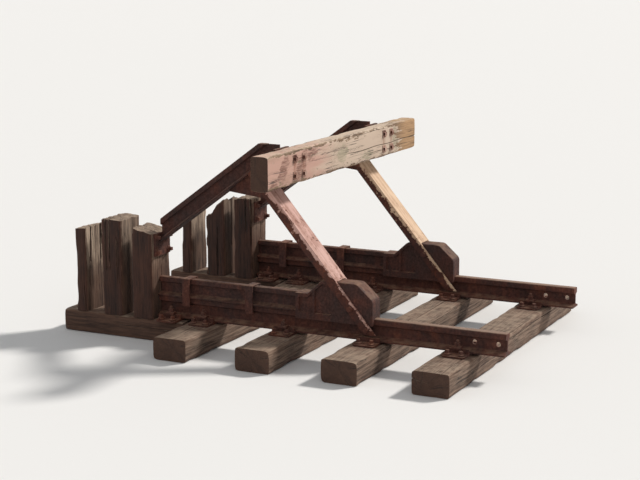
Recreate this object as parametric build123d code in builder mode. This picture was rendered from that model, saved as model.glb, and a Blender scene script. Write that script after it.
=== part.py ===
from build123d import *
import math
import os
from dataclasses import dataclass

os.makedirs("parts", exist_ok=True)

# A railway buffer stop made of old rails, channel section and sleeper timber.
# Millimetres. +X runs along the track towards the train, +Y across it, +Z up.
# The origin is on the track's centre line, under the middle of the whole part,
# at the level of the sleepers' undersides. Left is the train driver's left, -Y.


@dataclass(frozen=True)
class Post:
    """An upright stub: how far it stands behind the rails' end, and its top from back to front.

    Each point of the crest gives the distance behind the stub's own front face and the height
    above the rail top.
    """

    setback: float
    crest: tuple[tuple[float, float], ...]


@dataclass(frozen=True)
class RailSize:
    """Sizes of one flat-bottomed rail section."""

    height: float
    foot: float
    head: float
    web: float
    foot_edge: float
    foot_rise: float
    head_side: float
    head_slope: float
    crown_radius: float
    web_radius: float


# Track
gauge = 1435
track_rail = RailSize(
    height=149, foot=125, head=67, web=14, foot_edge=10.5, foot_rise=17,
    head_side=40, head_slope=9, crown_radius=13, web_radius=12,
)
open_end = 1700
sleeper_length = 2600
sleeper_width = 260
sleeper_height = 160
sleeper_pitch = 642
first_sleeper = 1380
sleeper_count = 4
timber_chamfer = 8
base_plate_thickness = 16
base_plate_length = 160
base_plate_width = 345
base_plate_edge = 11
base_plate_corner = 14
base_plate_rib = 20
base_plate_rib_height = 30
rib_taper = 4
rib_clearance = 2

# Fishplate holes at the open end of each track rail
fish_hole_radius = 16.5
fish_hole_first = 62
fish_hole_spacing = 165
fish_hole_height = 68

# Buffer beam, one stout plank
beam_face = 180
beam_depth = 130
beam_height = 235
beam_above_rail = 885
beam_length = 2500
beam_shift = 40
beam_chamfer = 10

# Old light rails, used for the rakers and for the sills on top of the track rails
old_rail = RailSize(
    height=134, foot=105, head=58, web=11, foot_edge=9, foot_rise=14,
    head_side=34, head_slope=8, crown_radius=10, web_radius=9,
)
raker_under_heel = 381
raker_under_head = 1091
raker_top_above_beam = 22

# Front struts, channel section with its web to the train
strut_angle = 49.6
strut_width = 160
strut_depth = 65
strut_web = 7.5
strut_flange_toe = 7.9
strut_flange_root = 12.5
strut_root_radius = 10.5
strut_toe_radius = 5.5
strut_front_at_rail_top = 700
strut_foot_below_rail = 105
foot_bolt_below_rail = 72
foot_bolt_radius = 12
foot_bolt_clearance = 0.5
foot_bolt_head = 18
foot_bolt_head_height = 15

# Cast foot shoes, riding on the track rails between the struts' flanges
shoe_back = 180
shoe_front = 760
shoe_low_height = 134
shoe_ramp_start = 270
shoe_ramp_end = 380
shoe_height = 235
shoe_nose_start = 640
shoe_nose_height = 130
shoe_cheek_below_rail = 45
shoe_clearance = 0.3
shoe_web_gap = 5
shoe_nose_radius = 45
shoe_edge_radius = 8
shoe_pocket_rim = 24
shoe_pocket_front = 455
shoe_pocket_depth = 14
shoe_pocket_radius = 14
shoe_pocket_draft = 15
shoe_rib_station = 318
shoe_rib = 16

# Head joint behind the beam
head_plate_thickness = 20
head_plate_width = 200
head_plate_below_beam = 25
head_rib = 20
gusset_thickness = 12
gusset_back = -360
gusset_edge = 14
gusset_foot_above_rail = 745
gusset_corner_cut = 22

# Straps that tie each sill rail down to the head of the track rail
strap_behind_shoe = 370
strap_ahead_of_post = 237
strap_length = 60
strap_thickness = 8
strap_side_clearance = 0.5
strap_hook_below_rail = 50
strap_hook_inner = 14

# Sole timbers and the upright sleeper stubs on them
sole_gap = 14
rail_over_sole = 247
sole_behind_posts = 105
post_width = 260
post_chamfer = 8
left_posts = {
    "front": Post(setback=0, crest=((170, 497), (123, 488), (0, 460))),
    "middle": Post(setback=257, crest=((172, 538), (86, 545), (0, 540))),
    "rear": Post(setback=563, crest=((95, 452), (0, 462))),
}
right_posts = {
    "front": Post(setback=0, crest=((170, 478), (73, 492), (0, 486))),
    "middle": Post(setback=257, crest=((172, 330), (116, 352), (74, 418), (0, 470))),
    "rear": Post(setback=563, crest=((95, 322), (0, 345))),
}
heel_plate_thickness = 15
heel_plate_width = 200
heel_plate_below_raker = 102
heel_plate_height = 165

# Worked out from the sizes above
rail_offset = (gauge + track_rail.head) / 2
rail_foot_level = sleeper_height + base_plate_thickness
rail_top = rail_foot_level + track_rail.height
beam_back = beam_face - beam_depth
beam_bottom = rail_top + beam_above_rail
beam_top = beam_bottom + beam_height
head_plate_back = beam_back - head_plate_thickness
shoe_top = rail_top + shoe_height
channel_inner = strut_width - 2 * strut_flange_root
toe_inner = strut_width - 2 * strut_flange_toe
shoe_half_width = channel_inner / 2 - shoe_clearance
sleeper_stations = [first_sleeper - number * sleeper_pitch for number in range(sleeper_count)]
sole_front = sleeper_stations[-1] - sleeper_width / 2 - sole_gap
rail_back_end = sole_front - rail_over_sole
heel_face = rail_back_end + heel_plate_thickness
posts_reach = max(stub.setback + stub.crest[0][0] for stub in [*left_posts.values(), *right_posts.values()])
timber_end = rail_back_end - posts_reach - sole_behind_posts
plate_stations = [*sleeper_stations, (rail_back_end + sole_front) / 2]
strap_stations = (rail_back_end + strap_ahead_of_post, shoe_back - strap_behind_shoe)
sides = {"left": -rail_offset, "right": rail_offset}

strut_slope = math.tan(math.radians(strut_angle))
raker_slope = (raker_under_head - raker_under_heel) / (head_plate_back - rail_back_end)
strut_along = Vector(-1, 0, strut_slope).normalized()
raker_along = Vector(1, 0, raker_slope).normalized()
web_setback = strut_web / math.sin(math.radians(strut_angle))
depth_setback = strut_depth / math.sin(math.radians(strut_angle))


def strut_front(level: float) -> float:
    """Where the struts' front face stands at a height above the ground."""
    return strut_front_at_rail_top - (level - rail_top) / strut_slope


def raker_under(station: float) -> float:
    """How high the rakers' underside is at a station along the track."""
    return rail_top + raker_under_head + (station - head_plate_back) * raker_slope


def meeting_point(setback: float) -> tuple[float, float]:
    """Where the raker's underside meets the strut's front face set back a little."""
    start = strut_front(rail_top) - setback
    rise_at_start = raker_under(start) - rail_top
    station = start - rise_at_start / (strut_slope + raker_slope)
    return station, raker_under(station)


def rail_points(size: RailSize) -> list[tuple[float, float]]:
    """The outline of a rail, foot down, round its middle line."""
    head_low = size.height - size.head_side - size.head_slope
    half = [
        (size.foot / 2, 0),
        (size.foot / 2, size.foot_edge),
        (size.web / 2, size.foot_edge + size.foot_rise),
        (size.web / 2, head_low),
        (size.head / 2, head_low + size.head_slope),
        (size.head / 2, size.height),
    ]
    return half + [(-x, z) for x, z in reversed(half)]


def rail_outline(size: RailSize) -> Sketch:
    """The rail's section with its rounded crown and the hollows beside its web."""
    with BuildSketch() as outline:
        with BuildLine():
            Polyline(*rail_points(size), close=True)
        make_face()
        fillet(outline.vertices().group_by(Axis.Y)[-1], size.crown_radius)
        fillet(outline.vertices().filter_by(lambda v: math.isclose(abs(v.X), size.web / 2)), size.web_radius)
    return outline.sketch


def across(station: float, offset: float, level: float) -> Plane:
    """A plane square to the track, its own X across the track and its Y up."""
    return Plane(origin=(station, offset, level), x_dir=(0, 1, 0), z_dir=(1, 0, 0))


def side_view(offset: float) -> Plane:
    """A plane along the track: its own X is the station, its own Y the height."""
    return Plane.XZ.offset(-offset)


track_outline = rail_outline(track_rail)
old_outline = rail_outline(old_rail)

# Sleepers across the track
for number, station in enumerate(sleeper_stations, start=1):
    with BuildPart() as sleeper:
        with BuildSketch(Plane.XY.move(Location((station, 0, 0)))):
            Rectangle(sleeper_width, sleeper_length)
        extrude(amount=sleeper_height)
        chamfer(sleeper.edges().filter_by(Axis.Y), timber_chamfer)
    sleeper.part.label = f"sleeper_{number}"
    export_step(sleeper.part, f"parts/sleeper_{number}.step")

for side, offset in sides.items():
    # Sole timber along the track, under the posts and the rail's back end
    with BuildPart() as sole_timber:
        with BuildSketch(across(timber_end, offset, sleeper_height / 2)):
            Rectangle(post_width, sleeper_height)
        extrude(amount=sole_front - timber_end)
        chamfer(sole_timber.edges().filter_by(Axis.X), timber_chamfer)
    sole_timber.part.label = f"sole_timber_{side}"
    export_step(sole_timber.part, f"parts/sole_timber_{side}.step")

    # Ribbed base plates under the track rail, thinner towards their outer ends
    for number, station in enumerate(plate_stations, start=1):
        rib_inner = track_rail.foot / 2 + rib_clearance
        rib_outer = rib_inner + base_plate_rib
        with BuildPart() as base_plate:
            with BuildSketch(across(station - base_plate_length / 2, offset, sleeper_height)):
                with BuildLine():
                    Polyline(
                        (0, 0),
                        (base_plate_width / 2, 0),
                        (base_plate_width / 2, base_plate_edge),
                        (rib_outer, base_plate_thickness),
                        (rib_outer, base_plate_thickness + base_plate_rib_height),
                        (rib_inner + rib_taper, base_plate_thickness + base_plate_rib_height),
                        (rib_inner, base_plate_thickness),
                        (0, base_plate_thickness),
                        close=True,
                    )
                make_face()
                mirror(about=Plane.YZ)
            extrude(amount=base_plate_length)
            chamfer(base_plate.edges().filter_by(Axis.Z).group_by(SortBy.LENGTH)[0], base_plate_corner)
        base_plate.part.label = f"base_plate_{side}_{number}"
        export_step(base_plate.part, f"parts/base_plate_{side}_{number}.step")

    # Track rail, with two fishplate holes at its open end and one for the foot bolt
    bolt_level = rail_top - foot_bolt_below_rail
    bolt_station = strut_front(bolt_level) - depth_setback / 2
    with BuildPart() as running_rail:
        with BuildSketch(across(rail_back_end, offset, rail_foot_level)):
            add(track_outline)
        extrude(amount=open_end - rail_back_end)
        with BuildSketch(side_view(offset)):
            with Locations((open_end - fish_hole_first, rail_foot_level + fish_hole_height),
                           (open_end - fish_hole_first - fish_hole_spacing, rail_foot_level + fish_hole_height)):
                Circle(fish_hole_radius)
            with Locations((bolt_station, bolt_level)):
                Circle(foot_bolt_radius + foot_bolt_clearance)
        extrude(amount=track_rail.foot, both=True, mode=Mode.SUBTRACT)
    running_rail.part.label = f"running_rail_{side}"
    export_step(running_rail.part, f"parts/running_rail_{side}.step")

    # Sill, an old rail laid on the track rail between the post and the shoe
    with BuildPart() as sill_rail:
        with BuildSketch(across(rail_back_end, offset, rail_top)):
            add(old_outline)
        extrude(amount=shoe_back - rail_back_end)
    sill_rail.part.label = f"sill_rail_{side}"
    export_step(sill_rail.part, f"parts/sill_rail_{side}.step")

    # Straps over the sill, hooked under the track rail's head
    for number, station in enumerate(strap_stations, start=1):
        inner = old_rail.foot / 2 + strap_side_clearance
        outer = inner + strap_thickness
        hook_top = -strap_hook_below_rail
        with BuildPart() as sill_strap:
            with BuildSketch(across(station - strap_length / 2, offset, rail_top)) as strap_outline:
                with BuildLine():
                    Polyline(
                        (-outer, hook_top - strap_thickness),
                        (-outer, old_rail.height + strap_thickness),
                        (outer, old_rail.height + strap_thickness),
                        (outer, hook_top - strap_thickness),
                        (strap_hook_inner, hook_top - strap_thickness),
                        (strap_hook_inner, hook_top),
                        (inner, hook_top),
                        (inner, old_rail.height),
                        (-inner, old_rail.height),
                        (-inner, hook_top),
                        (-strap_hook_inner, hook_top),
                        (-strap_hook_inner, hook_top - strap_thickness),
                        close=True,
                    )
                make_face()
                fillet(strap_outline.vertices().group_by(Axis.Y)[-1], strap_thickness)
            extrude(amount=strap_length)
        sill_strap.part.label = f"sill_strap_{side}_{number}"
        export_step(sill_strap.part, f"parts/sill_strap_{side}_{number}.step")

    # Cast shoe: a saddle on the rail's head with a ramp at the back, a round nose
    # and a ribbed pocket in each side behind the strut
    with BuildPart() as foot_shoe:
        with BuildSketch(side_view(offset)) as shoe_profile:
            with BuildLine():
                Polyline(
                    (shoe_back, rail_top - shoe_cheek_below_rail),
                    (shoe_back, rail_top + shoe_low_height),
                    (shoe_ramp_start, rail_top + shoe_low_height),
                    (shoe_ramp_end, shoe_top),
                    (shoe_nose_start, shoe_top),
                    (shoe_front, rail_top + shoe_nose_height),
                    (shoe_front, rail_top - shoe_cheek_below_rail),
                    close=True,
                )
            make_face()
            fillet(shoe_profile.vertices().filter_by(lambda v: v.X >= shoe_nose_start and v.Y > rail_top),
                   shoe_nose_radius)
            fillet(shoe_profile.vertices().sort_by_distance((shoe_ramp_end, shoe_top))[0], shoe_nose_radius)
        extrude(amount=shoe_half_width, both=True)
        with BuildSketch(across(shoe_back, offset, rail_top)):
            with Locations((0, -shoe_cheek_below_rail)):
                Rectangle(track_rail.head + 2 * shoe_clearance, shoe_cheek_below_rail,
                          align=(Align.CENTER, Align.MIN))
        extrude(amount=shoe_front - shoe_back, mode=Mode.SUBTRACT)
        for outward in (-1, 1):
            with BuildSketch(side_view(offset + outward * shoe_half_width)) as pocket:
                with BuildLine():
                    Polyline(
                        (shoe_back + shoe_pocket_rim, rail_top),
                        (shoe_back + shoe_pocket_rim, rail_top + shoe_low_height - shoe_pocket_rim),
                        (shoe_ramp_start, rail_top + shoe_low_height - shoe_pocket_rim),
                        (shoe_ramp_end, shoe_top - shoe_pocket_rim),
                        (shoe_pocket_front - shoe_pocket_rim, shoe_top - shoe_pocket_rim),
                        (shoe_pocket_front, rail_top),
                        close=True,
                    )
                make_face()
                fillet(pocket.vertices(), shoe_pocket_radius)
                with Locations((shoe_rib_station, rail_top)):
                    Rectangle(shoe_rib, shoe_height, align=(Align.CENTER, Align.MIN), mode=Mode.SUBTRACT)
            extrude(amount=outward * shoe_pocket_depth, taper=shoe_pocket_draft, mode=Mode.SUBTRACT)
        front_edges = foot_shoe.edges().filter_by(Axis.Z).group_by(Axis.X)[-1].sort_by(Axis.Y)
        fillet([front_edges[0], front_edges[-1]], shoe_edge_radius)
    foot_shoe.part.label = f"foot_shoe_{side}"
    export_step(foot_shoe.part, f"parts/foot_shoe_{side}.step")

    # Front strut, mitred under the raker, its web cut away where the shoe passes
    foot_level = rail_top - strut_foot_below_rail
    head_station, head_level = meeting_point(0)
    strut_start = Vector(strut_front(0), offset, 0)
    with BuildPart() as strut:
        with BuildSketch(Plane(origin=strut_start, x_dir=(0, 1, 0), z_dir=strut_along)) as channel:
            with BuildLine():
                Polyline(
                    (-strut_width / 2, 0),
                    (strut_width / 2, 0),
                    (strut_width / 2, strut_depth),
                    (toe_inner / 2, strut_depth),
                    (channel_inner / 2, strut_web),
                    (-channel_inner / 2, strut_web),
                    (-toe_inner / 2, strut_depth),
                    (-strut_width / 2, strut_depth),
                    close=True,
                )
            make_face()
            fillet(channel.vertices().filter_by(lambda v: math.isclose(v.Y, strut_web)), strut_root_radius)
            toes = channel.vertices().group_by(Axis.Y)[-1].filter_by(lambda v: math.isclose(abs(v.X), toe_inner / 2))
            fillet(toes, strut_toe_radius)
        extrude(amount=(head_level + strut_width) / strut_along.Z)
        split(bisect_by=Plane(origin=(0, offset, foot_level), z_dir=(0, 0, 1)), keep=Keep.TOP)
        under_plane = Plane(origin=(head_station, offset, head_level), x_dir=(0, 1, 0),
                            z_dir=Vector(-raker_along.Z, 0, raker_along.X))
        split(bisect_by=under_plane, keep=Keep.BOTTOM)
        with BuildSketch(across(shoe_back, offset, foot_level)):
            Rectangle(channel_inner, shoe_top + shoe_web_gap - foot_level, align=(Align.CENTER, Align.MIN))
        extrude(amount=strut_front(foot_level) - shoe_back, mode=Mode.SUBTRACT)
        with BuildSketch(side_view(offset)):
            with Locations((bolt_station, bolt_level)):
                Circle(foot_bolt_radius + foot_bolt_clearance)
        extrude(amount=strut_width, both=True, mode=Mode.SUBTRACT)
    strut.part.label = f"strut_{side}"
    export_step(strut.part, f"parts/strut_{side}.step")

    # Bolt through the strut's flanges and the web of the track rail
    with BuildPart() as foot_bolt:
        with BuildSketch(side_view(offset)):
            with Locations((bolt_station, bolt_level)):
                Circle(foot_bolt_radius)
        extrude(amount=strut_width / 2, both=True)
        for face in foot_bolt.faces().sort_by(Axis.Y)[0], foot_bolt.faces().sort_by(Axis.Y)[-1]:
            with BuildSketch(face):
                RegularPolygon(foot_bolt_head, 6)
            extrude(amount=foot_bolt_head_height)
    foot_bolt.part.label = f"foot_bolt_{side}"
    export_step(foot_bolt.part, f"parts/foot_bolt_{side}.step")

    # Raker, an old rail from the front post up to the beam, cut upright at both ends
    spare = old_rail.height * (1 + raker_slope)
    raker_start = Vector(heel_face, offset, raker_under(heel_face)) - raker_along * spare
    with BuildPart() as raker:
        with BuildSketch(Plane(origin=raker_start, x_dir=(0, 1, 0), z_dir=raker_along)):
            add(old_outline)
        extrude(amount=(head_plate_back - heel_face) / raker_along.X + 2 * spare)
        split(bisect_by=across(heel_face, offset, rail_top), keep=Keep.TOP)
        split(bisect_by=across(head_plate_back, offset, rail_top), keep=Keep.BOTTOM)
        cut_level = beam_top + raker_top_above_beam
        split(bisect_by=Plane(origin=(0, offset, cut_level), z_dir=(0, 0, 1)), keep=Keep.BOTTOM)
    raker.part.label = f"raker_{side}"
    export_step(raker.part, f"parts/raker_{side}.step")

    # Head bracket: a plate on the beam's back and a rib that fills the corner
    plate_low = beam_bottom - head_plate_below_beam
    with BuildPart() as head_bracket:
        with BuildSketch(across(head_plate_back, offset, plate_low)):
            Rectangle(head_plate_width, beam_top - plate_low, align=(Align.CENTER, Align.MIN))
        extrude(amount=head_plate_thickness)
        with BuildSketch(side_view(offset)):
            with BuildLine():
                Polyline(
                    (head_plate_back, plate_low),
                    (head_plate_back, raker_under(head_plate_back)),
                    (head_station, head_level),
                    (strut_front(plate_low), plate_low),
                    close=True,
                )
            make_face()
        extrude(amount=head_rib / 2, both=True)
    head_bracket.part.label = f"head_bracket_{side}"
    export_step(head_bracket.part, f"parts/head_bracket_{side}.step")

    # Gusset behind the strut's web, under the raker
    gusset_low = rail_top + gusset_foot_above_rail
    inside_station, inside_level = meeting_point(web_setback)
    with BuildPart() as head_gusset:
        with BuildSketch(side_view(offset)):
            with BuildLine():
                Polyline(
                    (inside_station, inside_level),
                    (strut_front(gusset_low) - web_setback, gusset_low),
                    (strut_front(gusset_low) - web_setback - gusset_corner_cut, gusset_low),
                    (gusset_back, raker_under(gusset_back) - gusset_edge),
                    (gusset_back, raker_under(gusset_back)),
                    close=True,
                )
            make_face()
        extrude(amount=gusset_thickness / 2, both=True)
    head_gusset.part.label = f"head_gusset_{side}"
    export_step(head_gusset.part, f"parts/head_gusset_{side}.step")

    # Plate on the front post that takes the raker's cut end
    with BuildPart() as heel_plate:
        with BuildSketch(across(rail_back_end, offset, raker_under(heel_face) - heel_plate_below_raker)):
            Rectangle(heel_plate_width, heel_plate_height, align=(Align.CENTER, Align.MIN))
        extrude(amount=heel_plate_thickness)
    heel_plate.part.label = f"heel_plate_{side}"
    export_step(heel_plate.part, f"parts/heel_plate_{side}.step")

    # Upright sleeper stubs, each with its own weathered top
    posts = left_posts if side == "left" else right_posts
    for name, stub in posts.items():
        front = rail_back_end - stub.setback
        crest = [(front - behind, rail_top + height) for behind, height in stub.crest]
        with BuildPart() as post:
            with BuildSketch(side_view(offset)):
                with BuildLine():
                    Polyline((crest[-1][0], sleeper_height), (crest[0][0], sleeper_height), *crest, close=True)
                make_face()
            extrude(amount=post_width / 2, both=True)
            chamfer(post.edges().filter_by(Axis.Z), post_chamfer)
        post.part.label = f"post_{name}_{side}"
        export_step(post.part, f"parts/post_{name}_{side}.step")

# Buffer beam across the head brackets
with BuildPart() as buffer_beam:
    with BuildSketch(across(beam_back, beam_shift, beam_bottom)):
        Rectangle(beam_length, beam_height, align=(Align.CENTER, Align.MIN))
    extrude(amount=beam_depth)
    chamfer(buffer_beam.edges().filter_by(Axis.Y), beam_chamfer)
buffer_beam.part.label = "buffer_beam"
export_step(buffer_beam.part, "parts/buffer_beam.step")
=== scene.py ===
"""Dresses the railway buffer stop: weathered timber, old painted steel and the small fastenings."""
from __future__ import annotations

import logging
import math
from dataclasses import dataclass, field, replace
from enum import Enum
from typing import Iterable, Sequence

import bpy
import numpy as np
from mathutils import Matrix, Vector

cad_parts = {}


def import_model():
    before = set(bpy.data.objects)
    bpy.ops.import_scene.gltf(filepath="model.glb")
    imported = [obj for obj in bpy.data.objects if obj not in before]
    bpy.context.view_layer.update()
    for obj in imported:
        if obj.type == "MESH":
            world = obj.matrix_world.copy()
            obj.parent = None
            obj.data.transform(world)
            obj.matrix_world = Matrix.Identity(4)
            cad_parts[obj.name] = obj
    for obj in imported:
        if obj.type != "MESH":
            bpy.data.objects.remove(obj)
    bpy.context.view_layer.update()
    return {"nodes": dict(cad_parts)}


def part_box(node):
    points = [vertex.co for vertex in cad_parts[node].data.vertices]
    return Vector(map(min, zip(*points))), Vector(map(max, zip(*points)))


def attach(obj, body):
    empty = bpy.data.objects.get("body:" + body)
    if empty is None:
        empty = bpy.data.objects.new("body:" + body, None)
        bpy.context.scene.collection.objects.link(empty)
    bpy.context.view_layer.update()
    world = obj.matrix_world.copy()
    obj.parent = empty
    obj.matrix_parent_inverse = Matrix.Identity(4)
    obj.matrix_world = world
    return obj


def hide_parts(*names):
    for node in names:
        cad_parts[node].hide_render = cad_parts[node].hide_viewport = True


log = logging.getLogger("buffer_stop")

Colour = tuple[float, float, float, float]
Triple = tuple[float, float, float]
Profile = Sequence[tuple[float, float]]

BODY = "root"

# Places and sizes that several classes share, in metres, and the struts' slope.
RAIL_OFFSET = 0.751  # from the track's middle to a rail's
RAIL_TOP = 0.325  # above the ground
STRUT_AT_RAIL = 0.700  # station of the struts' front face at the rail's top
STRUT_DEGREES = 49.6
BEAM_BOLT_ACROSS = 0.068  # from a rail's middle to a beam bolt
BOLT_FLATS = 0.036  # across the flats of every hexagon head and nut
HEAD_PLATE = 0.020  # thickness of the head brackets' plate
EDGE_REACH = 0.012  # how far the wear of a timber's long corners reaches on to its faces
SEED_SHIFT = 3.7  # along the grain, between the patterns of two seeds

# Rings of a timber's end face, as shares of its rim: on a sawn end and on a torn top.
SAWN_RINGS = np.array([0.985, 0.93, 0.84, 0.72, 0.58, 0.43, 0.28, 0.14])
TORN_RINGS = np.linspace(0.97, 0.05, 20)


class Grain(Enum):
    """The direction in which a timber's grain runs."""

    ALONG_TRACK = 0
    ACROSS_TRACK = 1
    UPRIGHT = 2


class Side(Enum):
    """The two rails, by the train driver's left and right."""

    LEFT = "left"
    RIGHT = "right"

    @property
    def y(self) -> float:
        """Where this side's rail runs."""
        return -RAIL_OFFSET if self is Side.LEFT else RAIL_OFFSET


def srgb(red: float, green: float, blue: float) -> Colour:
    """Turns a colour of 0 to 255 as seen on a screen into the linear one that a shader takes.

    Args:
        red: Red, 0 to 255.
        green: Green, 0 to 255.
        blue: Blue, 0 to 255.

    Returns:
        The linear colour with an alpha of one.
    """
    values = np.array([red, green, blue]) / 255.0
    linear = np.where(values <= 0.04045, values / 12.92, ((values + 0.055) / 1.055) ** 2.4)
    return (*linear.tolist(), 1.0)


def smooth_step(low: float, high: float, x: np.ndarray) -> np.ndarray:
    """Rises from 0 at low to 1 at high as 3t^2 - 2t^3, with t the share of the way."""
    t = np.clip((x - low) / (high - low), 0.0, 1.0)
    return t * t * (3.0 - 2.0 * t)


def lattice_noise(rng: np.random.Generator, u: np.ndarray, v: np.ndarray, cells_u: int, cells_v: int,
                  closed_u: bool = False) -> np.ndarray:
    """Smooth noise of -1 to 1: random values on a lattice, blended with 3t^2 - 2t^3 in both directions.

    Args:
        rng: Seeded generator.
        u: First parameter, 0 to 1.
        v: Second parameter, 0 to 1.
        cells_u: Lattice cells along u.
        cells_v: Lattice cells along v.
        closed_u: Whether u comes back to its start.

    Returns:
        The noise at each pair of parameters.
    """
    table = rng.uniform(-1.0, 1.0, (cells_u + 1, cells_v + 1))
    if closed_u:
        table[-1] = table[0]
    x = np.clip(u, 0.0, 1.0) * cells_u
    y = np.clip(v, 0.0, 1.0) * cells_v
    i = np.minimum(x.astype(int), cells_u - 1)
    j = np.minimum(y.astype(int), cells_v - 1)
    a = smooth_step(0.0, 1.0, x - i)
    b = smooth_step(0.0, 1.0, y - j)
    low = table[i, j] * (1 - a) + table[i + 1, j] * a
    high = table[i, j + 1] * (1 - a) + table[i + 1, j + 1] * a
    return low * (1 - b) + high * b


@dataclass
class Shell:
    """Corners and faces of a mesh while it is worked out.

    Attributes:
        points: Corner places, one row each, in metres.
        faces: Corner numbers of each face.
    """

    points: np.ndarray
    faces: list[Sequence[int]]

    @staticmethod
    def joined(shells: Iterable[Shell]) -> Shell:
        """Puts several shells into one, counting the corners on.

        Args:
            shells: The shells in order.

        Returns:
            One shell of them all.
        """
        points: list[np.ndarray] = []
        faces: list[Sequence[int]] = []
        start = 0
        for shell in shells:
            points.append(shell.points)
            faces += [tuple(i + start for i in face) for face in shell.faces]
            start += len(shell.points)
        return Shell(np.concatenate(points), faces)

    def moved(self, origin: Sequence[float], x_axis: Triple = (1, 0, 0),
              y_axis: Triple = (0, 1, 0)) -> Shell:
        """Sets the shell at an origin, with its own axes along two directions and their cross product.

        Args:
            origin: Where the shell's own origin goes.
            x_axis: The direction that its X takes.
            y_axis: The direction that its Y takes, square to the first.

        Returns:
            The shell in its place.
        """
        x = np.array(x_axis, float)
        y = np.array(y_axis, float)
        turn = np.stack([x, y, np.cross(x, y)])
        return Shell(self.points @ turn + np.array(origin, float), self.faces)


def spun(angle: float) -> tuple[Triple, Triple]:
    """Gives the first two axes of a shell that is turned about Z by an angle in radians."""
    return (math.cos(angle), math.sin(angle), 0), (-math.sin(angle), math.cos(angle), 0)


def ring_faces(rings: int, around: int) -> list[Sequence[int]]:
    """Numbers the quads of a tube of closed rings: two neighbours and the same two on the next ring.

    Args:
        rings: How many rings there are.
        around: Corners on each ring.

    Returns:
        Four corner numbers for each quad.
    """
    i, j = np.meshgrid(np.arange(rings - 1), np.arange(around), indexing="ij")
    k = (j + 1) % around
    quads = np.stack([i * around + j, i * around + k, (i + 1) * around + k, (i + 1) * around + j], axis=-1)
    return [tuple(quad) for quad in quads.reshape(-1, 4).tolist()]


def capped_tube(rings: np.ndarray) -> Shell:
    """Joins rings of corners in order, and closes both ends with a flat face.

    Args:
        rings: Corner places by ring, by corner on the ring and by axis.

    Returns:
        The closed shell.
    """
    count, around = rings.shape[:2]
    ends = [tuple(reversed(range(around))), tuple(range((count - 1) * around, count * around))]
    return Shell(rings.reshape(-1, 3), ring_faces(count, around) + ends)


def revolved(profile: Profile, sides: int = 24, flats: int = 0) -> Shell:
    """Turns a profile about Z: point = (r cos a, r sin a, z), with a pole at the middle of either end.

    Args:
        profile: Pairs of radius and height, from the bottom to the top.
        sides: Corners on each ring.
        flats: With a number here each radius is the distance to the flats of such a polygon,
            r / cos(a - nearest flat's middle).

    Returns:
        A closed shell with its faces outwards.
    """
    angle = np.arange(sides) * 2 * math.pi / sides
    stretch = np.ones(sides)
    if flats:
        step = 2 * math.pi / flats
        stretch = 1 / np.cos((angle + step / 2) % step - step / 2)
    radius, height = (np.array(column)[:, None] for column in zip(*profile))
    x = radius * stretch * np.cos(angle)
    y = radius * stretch * np.sin(angle)
    rings = np.stack([x, y, np.repeat(height, sides, axis=1)], axis=-1).reshape(-1, 3)
    points = np.concatenate([rings, [[0, 0, profile[0][1]], [0, 0, profile[-1][1]]]])
    low_pole = len(rings)
    last = low_pole - sides
    faces = ring_faces(len(profile), sides)
    faces += [(low_pole, (j + 1) % sides, j) for j in range(sides)]
    faces += [(low_pole + 1, last + j, last + (j + 1) % sides) for j in range(sides)]
    return Shell(points, faces)


def extruded(outline: Profile, depth: float, edge: float = 0.0015) -> Shell:
    """Carries an outline along Z by a depth, with both rims drawn in by a small edge.

    The four rings are the outline scaled about its middle by (1 - edge / half size) at z = 0 and z = depth,
    and the outline itself an edge further in.

    Args:
        outline: Its corners, anticlockwise.
        depth: How far it is carried.
        edge: How far the rims are drawn in.

    Returns:
        A closed shell with its faces outwards.
    """
    flat = np.array(outline, float)
    middle = (flat.min(0) + flat.max(0)) / 2
    half = (flat.max(0) - flat.min(0)) / 2
    small = middle + (flat - middle) * (1 - edge / half)
    rings = [(small, 0.0), (flat, edge), (flat, depth - edge), (small, depth)]
    return capped_tube(np.stack([np.column_stack([ring, np.full(len(flat), z)]) for ring, z in rings]))


def carried(path: np.ndarray, radii: np.ndarray, sides: int = 8) -> Shell:
    """Carries a circle along a path: point = path + r (cos a u + sin a v), u and v square to the path.

    Args:
        path: The circle's middles.
        radii: Its radius at each of them.
        sides: Corners on each circle.

    Returns:
        A closed shell with its faces outwards.
    """
    run = np.gradient(path, axis=0)
    run /= np.linalg.norm(run, axis=1, keepdims=True)
    helper = np.array([0.31, 0.17, 0.94]) if abs(run[:, 2]).max() < 0.8 else np.array([1.0, 0.2, 0.05])
    u = np.cross(run, helper)
    u /= np.linalg.norm(u, axis=1, keepdims=True)
    v = np.cross(run, u)
    angle = (np.arange(sides) * 2 * math.pi / sides)[None, :, None]
    ring = np.cos(angle) * u[:, None, :] + np.sin(angle) * v[:, None, :]
    return capped_tube(path[:, None, :] + radii[:, None, None] * ring)


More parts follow.
